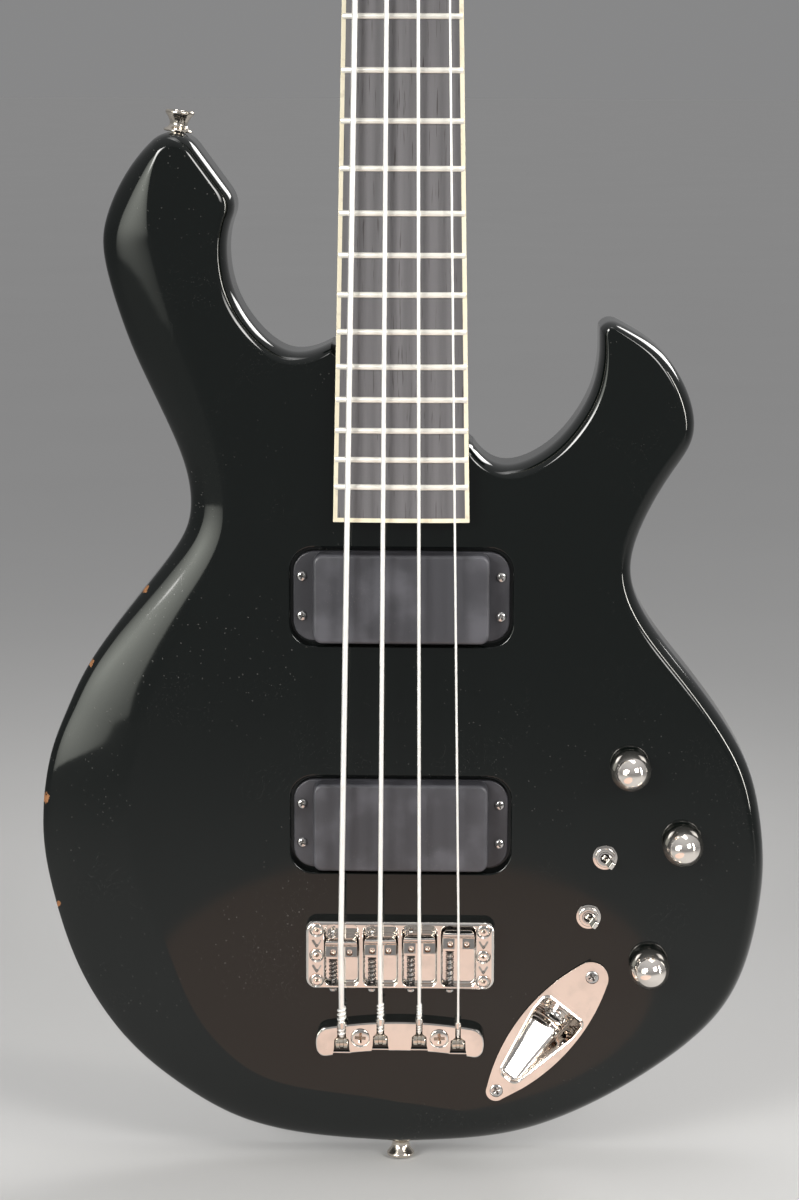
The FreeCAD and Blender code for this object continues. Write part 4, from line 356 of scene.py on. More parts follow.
def plastic_finish(name, colour, roughness):
    """Moulded plastic with a fine satin grain, dust and rub marks."""
    paint = Paint(name)
    grain = paint.noise(1500, 2)
    rub = paint.between(paint.noise(38, 4), 0.45, 0.7)
    dust = paint.grit(620, 0.08, 0.2) * paint.between(paint.noise(50, 2), 0.52, 0.7) * 0.5
    shade = paint.mix(rub * 0.5, colour, toned(colour, 2.6))
    shade = paint.mix(dust * 0.5, shade, (0.2, 0.19, 0.18, 1))
    paint.finish(base_color=shade, roughness=roughness + rub * 0.1 + dust * 0.3 - grain * 0.06,
                 normal=paint.bump(grain * 0.4 + dust, 0.14, 0.0001))


def copper_finish():
    """Fine enamelled wire in turns."""
    paint = Paint("coil_copper")
    turns = paint.node("ShaderNodeTexWave", {"bands_direction": "Y"},
                       {"Vector": paint.place, "Scale": 900.0, "Distortion": 0.6})
    age = paint.noise(160, 3)
    colour = paint.mix(age, (0.42, 0.12, 0.045, 1), (0.2, 0.05, 0.02, 1))
    paint.finish(base_color=colour, metallic=0.9, roughness=0.3 + turns * 0.2,
                 normal=paint.bump(turns, 0.4, 0.0001))


def make_finishes(colours):
    """All the finishes of the instrument."""
    lacquer_finish(colours)
    board_finish(colours)
    ivory_finish(colours)
    plated_finish("chrome", colours.chrome, 0.035)
    plated_finish("steel", (0.62, 0.61, 0.6, 1), 0.16)
    plated_finish("knob_chrome", (0.95, 0.89, 0.83, 1), 0.035, 0.98)
    plated_finish("fret_wire", (0.85, 0.825, 0.76, 1), 0.3, 0.45)
    plated_finish("string_wire", (0.9, 0.89, 0.87, 1), 0.32, 0.5)
    plated_finish("nickel", (0.7, 0.64, 0.56, 1), 0.15)
    plated_finish("magnet", (0.2, 0.2, 0.205, 1), 0.42)
    plated_finish("spring_black", (0.055, 0.053, 0.052, 1), 0.26)
    plastic_finish("black_plastic", tuple(colours.plastic), 0.4)
    plastic_finish("ear_plastic", toned(colours.plastic, 0.75), 0.36)
    copper_finish()


def clear():
    """Nothing selected, so that an operator acts on the new piece alone."""
    if bpy.context.object and bpy.context.object.mode != "OBJECT":
        bpy.ops.object.mode_set(mode="OBJECT")
    bpy.ops.object.select_all(action="DESELECT")


def named(name):
    """The primitive that was just added."""
    piece = bpy.context.object
    piece.name = piece.data.name = name
    return piece


def only(piece):
    """One piece selected and active."""
    clear()
    piece.select_set(True)
    bpy.context.view_layer.objects.active = piece


def settle(piece):
    """Place, turn and scale moved into the mesh."""
    only(piece)
    bpy.ops.object.transform_apply(location=True, rotation=True, scale=True)
    return piece


def edit(piece):
    """One piece opened in edit mode."""
    only(piece)
    bpy.ops.object.mode_set(mode="EDIT")


def leave(merge=1e-3):
    """Doubles merged, faces turned outwards, back in object mode."""
    bpy.ops.mesh.select_mode(type="VERT")
    bpy.ops.mesh.select_all(action="SELECT")
    bpy.ops.mesh.remove_doubles(threshold=merge)
    bpy.ops.mesh.normals_make_consistent(inside=False)
    bpy.ops.object.mode_set(mode="OBJECT")


def pick(piece, kind, test):
    """In edit mode, the vertices, edges or faces that a test takes."""
    bpy.ops.mesh.select_mode(type=kind)
    bpy.ops.mesh.select_all(action="DESELECT")
    shape = bmesh.from_edit_mesh(piece.data)
    taken = 0
    for part in {"VERT": shape.verts, "EDGE": shape.edges, "FACE": shape.faces}[kind]:
        if test(part):
            part.select_set(True)
            taken += 1
    shape.select_flush_mode()
    bmesh.update_edit_mesh(piece.data)
    if not taken:
        raise RuntimeError("nothing to select on " + piece.name)


def modified(piece, kind, **settings):
    """A modifier with its settings, applied."""
    only(piece)
    modifier = piece.modifiers.new(kind.lower(), kind)
    for name, value in settings.items():
        setattr(modifier, name, value)
    bpy.ops.object.modifier_apply(modifier=modifier.name)
    return piece


def softened(piece, width, segments, angle=35):
    """Edges sharper than an angle rounded."""
    return modified(piece, "BEVEL", width=width, segments=segments, limit_method="ANGLE",
                    angle_limit=math.radians(angle), use_clamp_overlap=True)


def cut(piece, *cutters):
    """One piece cut by others, which are used up."""
    for cutter in cutters:
        modified(piece, "BOOLEAN", object=cutter, operation="DIFFERENCE", solver="EXACT")
        bpy.data.objects.remove(cutter)
    return piece


def kept_within(piece, mould):
    """The part of a piece that lies inside another, which is used up."""
    modified(piece, "BOOLEAN", object=mould, operation="INTERSECT", solver="EXACT")
    bpy.data.objects.remove(mould)


def joined(name, pieces):
    """Several pieces made one object."""
    clear()
    for piece in pieces:
        piece.select_set(True)
    bpy.context.view_layer.objects.active = pieces[0]
    if len(pieces) > 1:
        bpy.ops.object.join()
    return named(name)


def stood(piece, seat, axis, spin=0.0):
    """A piece made upright at the origin, stood on a seat with its top along an axis."""
    piece.rotation_mode = "QUATERNION"
    piece.rotation_quaternion = UP.rotation_difference(Vector(axis).normalized()) @ Quaternion(UP, spin)
    piece.location = seat
    return settle(piece)


def copies(piece, seats):
    """Copies with meshes of their own, each stood on a seat: place, axis and spin. The piece is used up."""
    made = []
    for seat in seats:
        twin = piece.copy()
        twin.data = piece.data.copy()
        bpy.context.collection.objects.link(twin)
        made.append(stood(twin, *seat))
    bpy.data.objects.remove(piece)
    return made


def shown(piece, finish, body, *nodes, slot=None, angle=35):
    """A finished piece: brought to metres, shaded, painted, riding on its body, standing for its nodes."""
    piece.scale = (MM, MM, MM)
    settle(piece)
    bpy.ops.object.shade_smooth_by_angle(angle=math.radians(angle))
    modified(piece, "WEIGHTED_NORMAL", keep_sharp=True)
    piece.data.materials.clear()
    piece.data.materials.append(FINISHES[finish])
    if body:
        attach(piece, body)
    if nodes:
        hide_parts(*nodes)


def turned(name, rings, foot=(0, 0, 0), axis=UP, sides=48):
    """Round piece raised ring by ring from its foot: radius and height along the axis."""
    clear()
    radius, height = rings[0]
    bpy.ops.mesh.primitive_circle_add(vertices=sides, radius=radius, fill_type="NGON",
                                      location=(0, 0, height))
    piece = settle(named(name))
    edit(piece)
    bpy.ops.mesh.select_all(action="SELECT")
    for wide, high in rings[1:]:
        bpy.ops.mesh.extrude_region_move(TRANSFORM_OT_translate={"value": (0, 0, high - height)})
        scale = wide / radius
        bpy.ops.transform.resize(value=(scale, scale, 1), center_override=(0, 0, high))
        radius, height = wide, high
    leave()
    return stood(piece, foot, axis)


def drill(radius, low, high, foot, axis, sides):
    """Straight round tool for a hole, from one height above its foot to another."""
    return turned("drill", [(radius, low), (radius, high)], foot, axis, sides)


def extruded(name, points, way):
    """Flat outline of points, pulled along a way."""
    clear()
    bpy.ops.mesh.primitive_circle_add(vertices=len(points), radius=1, fill_type="NGON")
    piece = named(name)
    for vertex, point in zip(piece.data.vertices, points):
        vertex.co = point
    edit(piece)
    bpy.ops.mesh.select_all(action="SELECT")
    bpy.ops.mesh.extrude_region_move(TRANSFORM_OT_translate={"value": way})
    leave()
    return piece


def slab(name, outline, near, far):
    """Flat piece with an outline of X and Z, from one depth to another."""
    return extruded(name, [(x, near, z) for x, z in outline], (0, far - near, 0))


def sided(name, profile, left, right):
    """Bar across the instrument with a profile of Z and Y."""
    return extruded(name, [(left, y, z) for z, y in profile], (right - left, 0, 0))


def block(name, low, high):
    """Plain box between two corners, for cutting."""
    clear()
    low, high = Vector(low), Vector(high)
    bpy.ops.mesh.primitive_cube_add(size=1, location=(low + high) / 2)
    piece = named(name)
    piece.scale = high - low
    return settle(piece)


def skin(name, rings, caps=True):
    """Surface drawn over closed rings of points, its two ends filled."""
    rows = np.array([np.vstack([ring, ring[:1]]) for ring in rings], float)
    long, wide = rows.shape[:2]
    clear()
    bpy.ops.mesh.primitive_grid_add(x_subdivisions=wide - 1, y_subdivisions=long - 1, size=1)
    piece = named(name)
    if len(piece.data.vertices) != long * wide:
        raise RuntimeError("the grid doesn't match the rings of " + name)
    piece.data.vertices.foreach_set("co", rows.astype(np.float32).ravel())
    edit(piece)
    bpy.ops.mesh.select_all(action="SELECT")
    bpy.ops.mesh.remove_doubles(threshold=1e-3)
    if caps:
        bpy.ops.mesh.select_all(action="SELECT")
        bpy.ops.mesh.fill_holes(sides=0)
    leave()
    return piece


def tube(name, points, radius, sides=4):
    """Round wire along a row of points."""
    clear()
    bpy.ops.curve.primitive_nurbs_path_add()
    path = named(name)
    path.data.splines.clear()
    line = path.data.splines.new("POLY")
    line.points.add(len(points) - 1)
    line.points.foreach_set("co", [c for point in points for c in (*point, 1)])
    path.data.bevel_depth = radius
    path.data.bevel_resolution = sides
    path.data.use_fill_caps = True
    path.location = (0, 0, 0)
    bpy.ops.object.convert(target="MESH")
    piece = named(name)
    edit(piece)
    leave(1e-4)
    return settle(piece)


def arc(centre, radius, start, sweep, count):
    """Points of X and Z on part of a circle."""
    angles = [math.radians(start + sweep * i / count) for i in range(count + 1)]
    return [(centre[0] + radius * math.cos(a), centre[1] + radius * math.sin(a)) for a in angles]


def eased(corners, count):
    """Outline of X and Z whose corners are rounded, each by its own radius."""
    points = []
    for i, (x, z, radius) in enumerate(corners):
        here = Vector((x, z))
        before = Vector(corners[i - 1][:2]) - here
        after = Vector(corners[(i + 1) % len(corners)][:2]) - here
        half = before.angle(after) / 2
        reach = min(radius / math.tan(half), 0.49 * before.length, 0.49 * after.length)
        before, after = before.normalized(), after.normalized()
        real = reach * math.tan(half)
        middle = here + (before + after).normalized() * (real / math.sin(half))
        first, last = here + before * reach - middle, here + after * reach - middle
        start = math.degrees(math.atan2(first.y, first.x))
        sweep = math.degrees(math.atan2(last.y, last.x)) - start
        sweep = (sweep + 180) % 360 - 180
        points += arc(middle, real, start, sweep, count)
    return points


def bend(first, corner, last, share):
    """Point of a soft bend from the first point to the last, drawn towards a corner."""
    return first * (1 - share) ** 2 + corner * 2 * share * (1 - share) + last * share ** 2


def bow(first, through, last, count):
    """Points on the circle through three points of X and Z."""
    (ax, az), (bx, bz), (cx, cz) = first, through, last
    d = 2 * (ax * (bz - cz) + bx * (cz - az) + cx * (az - bz))
    a, b, c = ax * ax + az * az, bx * bx + bz * bz, cx * cx + cz * cz
    middle = ((a * (bz - cz) + b * (cz - az) + c * (az - bz)) / d,
              (a * (cx - bx) + b * (ax - cx) + c * (bx - ax)) / d)
    radius = math.hypot(ax - middle[0], az - middle[1])
    start = math.degrees(math.atan2(az - middle[1], ax - middle[0]))
    halfway = (math.degrees(math.atan2(bz - middle[1], bx - middle[0])) - start + 180) % 360 - 180
    return arc(middle, radius, start, 2 * halfway, count)


def rounded_box(x, z, width, length, corner, inset, count):
    """Rounded rectangle of X and Z round a middle, drawn in by an inset."""
    wide, long = width / 2 - inset, length / 2 - inset
    radius = max(corner - inset, 0.15)
    return eased([(x + wide, z + long, radius), (x - wide, z + long, radius),
                  (x - wide, z - long, radius), (x + wide, z - long, radius)], count)


def ringed_box(name, x, z, width, length, corner, profile, count=6):
    """Rounded box drawn ring by ring: the profile gives each ring's inset and depth."""
    return skin(name, [np.array([(px, y, pz) for px, pz in
                                 rounded_box(x, z, width, length, corner, inset, count)])
                       for inset, y in profile])


def quarter(radius, face, away, steps=4):
    """Insets and depths of a rounded edge, from the wall to the face; away points into the piece."""
    turns = [math.radians(90 * i / steps) for i in range(steps + 1)]
    return [(radius * (1 - math.cos(a)), face + away * radius * (1 - math.sin(a))) for a in turns]


def front_y(height):
    """Depth of a height in front of the body's face."""
    return FRONT - height


def string_x(index, pitch=STRING_PITCH):
    """Place of a string across the instrument, counted from the thickest."""
    return (index - 1.5) * pitch


def screw_head(name, radius, rise, sink, socket=False):
    """Domed screw head with a cross recess or a six-sided socket, upright at the origin."""
    head = turned(name, [(radius * 0.6, -sink), (radius * 0.97, -0.12 * radius), (radius, 0.02),
                         (radius * 0.95, rise * 0.35), (radius * 0.8, rise * 0.68),
                         (radius * 0.55, rise * 0.9), (radius * 0.25, rise)], sides=32)
    if socket:
        hole = [(radius * 0.1, rise - 2.3), (radius * 0.5, rise - 1.3), (radius * 0.53, rise + 1)]
        return cut(head, turned("socket", hole, sides=6))
    long, wide, deep = radius * 0.62, radius * 0.21, min(radius * 0.55, rise + sink - 0.15)
    wedge = [(-wide, -long, rise + 0.2), (wide, -long, rise + 0.2), (0, -long, rise - deep)]
    for turn in (0, 90):
        groove = extruded("recess", wedge, (0, 2 * long, 0))
        cut(head, stood(groove, (0, 0, 0), UP, math.radians(turn)))
    return head


def screw_set(name, head, seats, finish, *nodes, slot="steel"):
    """Copies of a screw head on their seats, as one piece. The head is used up."""
    shown(joined(name, copies(head, seats)), finish, "instrument", *nodes, slot=slot)


def knots(points):
    """Shares of the way along a row of points."""
    steps = np.sqrt(np.linalg.norm(np.diff(points, axis=0), axis=1))
    return np.concatenate([[0], np.cumsum(steps)])


def fair_line(points, along, where):
    """Smooth line through points at their shares, read at other shares."""
    points = np.asarray(points, float)
    if len(points) == 2:
        share = ((where - along[0]) / (along[1] - along[0]))[:, None]
        return points[0] * (1 - share) + points[1] * share
    count = len(points)
    gap = np.diff(along)
    rise = np.diff(points, axis=0) / gap[:, None]
    matrix = np.eye(count)
    target = np.zeros_like(points)
    for i in range(1, count - 1):
        matrix[i, i - 1:i + 2] = gap[i - 1], 2 * (gap[i - 1] + gap[i]), gap[i]
        target[i] = 6 * (rise[i] - rise[i - 1])
    matrix[0, :3] = gap[1], -(gap[0] + gap[1]), gap[0]
    matrix[-1, -3:] = gap[-1], -(gap[-2] + gap[-1]), gap[-2]
    bend = np.linalg.solve(matrix, target)
    i = np.clip(np.searchsorted(along, where, side="right") - 1, 0, count - 2)
    left = ((along[i + 1] - where) / gap[i])[:, None]
    right = 1 - left
    sag = ((left ** 3 - left) * bend[i] + (right ** 3 - right) * bend[i + 1]) * (gap[i] ** 2)[:, None] / 6
    return left * points[i] + right * points[i + 1] + sag


def inward_ways():
    """For every curve of the outline, the way into the body at each of its stations."""
    ways = []
    for curve in OUTLINE:
        points = np.array([(x, z) for x, z, _ in curve], float)
        along = knots(points)
        step = 1e-4 * along[-1]
        ahead = fair_line(points, along, np.minimum(along + step, along[-1]))
        behind = fair_line(points, along, np.maximum(along - step, 0))
        run = ahead - behind
        run /= np.linalg.norm(run, axis=1)[:, None]
        ways.append(np.stack([-run[:, 1], run[:, 0]], axis=1))
    for first, second in zip(ways, ways[1:] + ways[:1]):
        middle = first[-1] + second[0]
        middle /= np.linalg.norm(middle)
        stretch = 1 / max(0.6, float(middle @ first[-1]))
        first[-1] = second[0] = middle * stretch
    return ways


def body_rings(sizes):
    """Rings of points round the body, from the front flat to the back flat."""
    ways = inward_ways()
    front_roll, back_roll = sizes.front_roll / MM, sizes.back_roll / MM
    spacing = sizes.outline_step / MM
    front = [0, 0.045, 0.11] + [math.sin(math.radians(a)) for a in (12, 21, 31, 41, 51, 61, 70, 79, 90)]
    back = [math.sin(math.radians(a)) for a in (90, 76, 62, 48, 36, 24, 12, 0)]
    rings = []
    for steps, at_front in ((front, True), (back, False)):
        for step in steps:
            ring = []
            for curve, way in zip(OUTLINE, ways):
                base = np.array([(x, z) for x, z, _ in curve], float)
                roll = np.array([r for _, _, r in curve], float)
                # The wider the front roll, the more of it is a straight slope
                slope = 0.75 * np.maximum(0, roll - 7) / 46 if at_front else np.zeros(len(roll))
                width = roll if at_front else np.minimum(roll, back_roll)
                if not at_front:
                    width[[station in (BASS_CHEEK, TREBLE_CHEEK) for station in curve]] = 1
                fall = slope * step + (1 - slope) * (1 - math.sqrt(max(0, 1 - step * step)))
                inset = base + way * (width * (1 - step))[:, None]
                depth = FRONT + front_roll * fall if at_front else BACK - back_roll * fall
                stations = np.stack([inset[:, 0], depth, inset[:, 1]], axis=1)
                along = knots(base)
                length = np.linalg.norm(np.diff(base, axis=0), axis=1).sum()
                count = max(4, round(length / spacing))
                ring.append(fair_line(stations, along, np.linspace(0, along[-1], count + 1))[:-1])
            rings.append(rounded_corners(ring))
    return rings


def rounded_corners(curves):
    """One closed row of points from curves that meet end to end, with its corners eased."""
    row = np.concatenate(curves)
    end = 0
    for curve, ease in zip(curves, EASES):
        end += len(curve)
        if not ease:
            continue
        corner = row[end % len(row)].copy()
        ring = np.roll(row, len(row) // 2 - end, axis=0)
        away = np.linalg.norm(ring - corner, axis=1)
        middle = len(row) // 2
        first = next(i for i in range(middle, 0, -1) if away[i] > ease)
        last = next(i for i in range(middle, len(row)) if away[i] > ease)
        for i in range(first + 1, last):
            ring[i] = bend(ring[first], corner, ring[last], (i - first) / (last - first))
        row = np.roll(ring, end - len(row) // 2, axis=0)
    return row


def board_half(z):
    """Half of the bound board's width at a height."""
    share = (z - BOARD_END) / (NUT_Z - BOARD_END)
    return BOARD_HALF + (NUT_HALF - BOARD_HALF) * share


def cover_outline(grow):
    """Rounded outline of the control cavity, made larger."""
    cx, cz = CAVITY_MIDDLE
    corners = []
    for x, z in CAVITY:
        reach = math.hypot(x - cx, z - cz)
        scale = (reach + grow) / reach
        corners.append((cx + (x - cx) * scale, cz + (z - cz) * scale, COVER_CORNER))
    return eased(corners, 8)


def neck_screw_seats():
    """Places of the neck's screws on the back."""
    return [(side * NECK_SCREW_X, BACK, BOARD_END + rise) for side in (-1, 1) for rise in (13, 36)]


class BASS_OT_body(bpy.types.Operator):
    """Carve the lacquered body with its rolled edges, forearm slope and openings"""
    bl_idname = "bass.body"
    bl_label = "Body"

    def execute(self, context):
        sizes = context.scene.bass_sizes
        body = skin("lacquered_body", body_rings(sizes))
        rim = sizes.rim / MM
        rolled = [(-inset, y) for inset, y in quarter(rim, FRONT, 1)]
        openings = []
        for z in PICKUPS:
            openings.append(ringed_box("bed", 0, z, *PICKUP_BED,
                                       [(0, FRONT + 5.6)] + rolled + [(-rim, FRONT - 4)], 8))
            openings.append(ringed_box("well", 0, z, *PICKUP_WELL, [(0, FRONT + 24), (0, FRONT + 5)]))
        gap = 0.15
        low, high = BOARD_END - gap, 430
        pocket = [(-board_half(low) - gap, low), (board_half(low) + gap, low),
                  (board_half(high) + gap, high), (-board_half(high) - gap, high)]
        openings.append(slab("pocket", pocket, FRONT - 4, FRONT + 16))
        hole = [(p.x, p.z) for p in (jack_point(u, v, 0) for u, v in cup_plan(0.6))]
        openings.append(slab("jack_well", hole, FRONT - 4, FRONT + 23))
        openings.append(slab("cover_bed", cover_outline(7.3), BACK + 4, BACK - 2.55))
        for seat in neck_screw_seats():
            openings.append(drill(6.6, -4, 5.1, seat, OUT, 48))
        cut(body, *openings)
        shown(body, "gloss_lacquer", "instrument", "body", slot="black_lacquer", angle=32)
        return {"FINISHED"}


def neck_ring(z, front, depth, side, fullness):
    """Section of the neck: flat in front, its back rounder or squarer by its fullness."""
    count = 28
    half = board_half(min(z, NUT_Z))
    points = [(half * share, front, z) for share in (-1, -0.5, 0, 0.5, 1)]
    for i in range(1, count):
        angle = math.pi * i / count
        c, s = math.cos(angle), math.sin(angle)
        x = half * math.copysign(abs(c) ** (2 / fullness), c)
        points.append((x, BOARD_BACK + side + (depth - side) * s ** (2 / fullness), z))
    return np.array(points)


def headstock_outline():
    """Spade outline of the headstock."""
    stations = [(NUT_HALF, 0), (NUT_HALF + 1.5, 0.07), (33, 0.18), (42, 0.29), (37, 0.56), (33, 0.79),
                (30, 0.955)]
    points = np.array([(x, NUT_Z + HEAD_LENGTH * share) for x, share in stations])
    along = knots(points)
    right = [tuple(p) for p in fair_line(points, along, np.linspace(0, along[-1], 60))]
    left = [(-x, z) for x, z in reversed(right)]
    crest = bow(right[-1], (0, NUT_Z + HEAD_LENGTH), left[0], 30)
    return right + crest[1:-1] + left


class BASS_OT_neck(bpy.types.Operator):
    """Shape the neck from its heel to the headstock"""
    bl_idname = "bass.neck"
    bl_label = "Neck"

    def execute(self, context):
        # Height, depth at the middle, depth at the sides and fullness of each section
        stations = [(BOARD_END, 19.3, 17.5, 9), (380, 19.3, 17.5, 9), (396, 19.3, 16, 7),
                    (408, 18.2, 11, 4.2), (420, 16.8, 6, 2.7), (434, 16.1, 2.8, 2.15),
                    (500, 15.9, 2.5, 2.1), (700, 15.3, 2.5, 2.1), (900, 14.8, 2.5, 2.1),
                    (938, 14.8, 2.6, 2.1), (950, 15.6, 4, 2.5), (960, 17, 7.5, 3.4),
                    (969, 18.85, 14, 5.5), (973.5, 19.06, 16.2, 7.2), (976, 19.06, 17, 8),
                    (978.1, 19.04, 17, 8)]
        rings = [neck_ring(z, BOARD_BACK, *shape) for z, *shape in stations]
        rings.append(neck_ring(HEAD_FOOT, HEAD_FRONT + 0.02, 18.85, 17, 8))
        shaft = skin("shaft", rings)
        head = softened(slab("head", headstock_outline(), HEAD_FRONT, HEAD_BACK), 1.6, 4, 50)
        shown(joined("lacquered_neck", [shaft, head]), "gloss_lacquer", "instrument", "neck",
              slot="black_lacquer", angle=40)
        return {"FINISHED"}


class BASS_OT_frets(bpy.types.Operator):
    """Press crowned fret wire across the board"""
    bl_idname = "bass.frets"
    bl_label = "Frets"

    def execute(self, context):
        crown = context.scene.bass_sizes.fret_crown / MM
        wires = []
        for number in range(1, FRET_COUNT + 1):
            z = SADDLE_LINE + SCALE_LENGTH * 2 ** (-number / 12)
            reach = math.asin((board_half(z) - 0.6) / BOARD_RADIUS)
            rings = []
            for i in range(17):
                at_end = i in (0, 16)
                low = 0.35 if at_end else 1
                turn = (-1 + i / 8) * reach * (1.002 if at_end else 1)
                ring = []
                for k in range(9):
                    a = math.pi * k / 8
                    rise = crown * math.sin(a) ** 0.8 * low - 0.02
                    radius = BOARD_RADIUS + rise
                    ring.append((radius * math.sin(turn), BOARD_TOP + BOARD_RADIUS - radius * math.cos(turn),
                                 z + 1.35 * math.cos(a)))
                rings.append(np.array(ring))
            wires.append(skin("fret", rings))
        shown(joined("crowned_frets", wires), "fret_wire", "instrument", "frets", angle=50)
        return {"FINISHED"}


class BASS_OT_pickups(bpy.types.Operator):
    """Mould the two pickups and set their ear screws"""
    bl_idname = "bass.pickups"
    bl_label = "Pickups"

    def execute(self, context):
        for z, name in zip(PICKUPS, ("neck_pickup", "bridge_pickup")):
            ears = ringed_box(name + "_ears", 0, z, *PICKUP_EARS,
                              [(0, FRONT + 5.5)] + quarter(0.8, FRONT + 2.5, 1), 10)
            top = front_y(7.5)
            profile = [(0.0, FRONT + 3), (0.0, top + 2.4)] + quarter(1.7, top, 1, 5)
            profile += [(4.5, top - 0.04), (20.9, top - 0.12)]
            shell = ringed_box(name + "_shell", 0, z, *PICKUP_SHELL, profile, 8)
            shown(shell, "black_plastic", "instrument", name + "_cover", angle=40)
            shown(ears, "ear_plastic", "instrument", name + "_cover", slot="black_plastic", angle=40)
        seats = [((side * 47.1, FRONT + 2.5, z + step * 9.5), OUT, 0.35 * side + z)
                 for z in PICKUPS for side in (-1, 1) for step in (-1, 1)]
        head = screw_head("ear_screw", 2.5, 1.2, 0.1)
        screw_set("pickup_screw_heads", head, seats, "steel", "pickup_screws")
        return {"FINISHED"}


class BASS_OT_bridge(bpy.types.Operator):
    """Cast the bridge tray with its channels and set its screws"""
    bl_idname = "bass.bridge"
    bl_label = "Bridge tray"

    def execute(self, context):
        top = front_y(7.5)
        tray = ringed_box("bridge_casting", 0, TRAY_Z, 90.6, 2 * TRAY_HALF, 5.2,
                          [(0, FRONT), (0, top + 1.8)] + quarter(1.7, top, 1, 4), 10)
        floor = front_y(2.2)
        foot = quarter(0.9, floor, -1, 3)[::-1]
        roll = [(-inset, y) for inset, y in quarter(0.5, top, 1, 3)]
        profile = foot + roll + [(-0.5, top - 2)]
        tools = [ringed_box("channel", string_x(index), TRAY_Z, 16.35, 2 * CHANNEL_HALF, 3.2, profile, 6)
                 for index in range(4)]
        for side in (-1, 1):
            x = side * TRAY_SCREW_X
            for step in (-0.5, 0.5):
                z = TRAY_Z + step * TRAY_SCREW_STEP
                nook = eased([(x - 2.7, z + 1.5, 0.5), (x, z - 3, 0.5), (x + 2.7, z + 1.5, 0.5)], 3)
                tools.append(slab("nook", nook, top - 2, front_y(4.4)))
            for step in (-1, 0, 1):
                seat = (x, front_y(6.7), TRAY_Z + step * TRAY_SCREW_STEP)
                tools.append(turned("sink", [(1.8, -4), (2.7, -0.9), (2.7, -0.2), (3.55, 0.8), (3.55, 3)],
                                    seat, OUT, 32))
        cut(tray, *tools)
        slots = []
        for index in range(4):
            x = string_x(index) - INTONATION_X
            slots.append(slab("slot", rounded_box(x, 108.5, 2, 9, 0.9, 0, 3), floor - 1, floor + 0.9))
            slots.append(drill(1.3, -1, 4, (x, INTONATION_Y, TRAY_Z - TRAY_HALF), UP, 20))
        cut(tray, *slots)
        shown(tray, "chrome", "instrument", "bridge_tray", angle=38)
        tray_seats = [((side * TRAY_SCREW_X, front_y(6.4), TRAY_Z + step * TRAY_SCREW_STEP), OUT,
                       0.4 * step + side) for side in (-1, 1) for step in (-1, 0, 1)]
        tail_seats = [((side * TAIL_SCREW_X, front_y(6.6), tail_z(side * TAIL_SCREW_X)), OUT, 0.06 * side)
                      for side in (-1, 1)]
        heads = copies(screw_head("tray_screw", 2.6, 0.3, 2.2, True), tray_seats)
        heads += copies(screw_head("tail_screw", 4.2, 0.5, 2.6), tail_seats)
        shown(joined("bridge_screw_heads", heads), "chrome", "instrument", "bridge_screws", slot="steel")
        return {"FINISHED"}


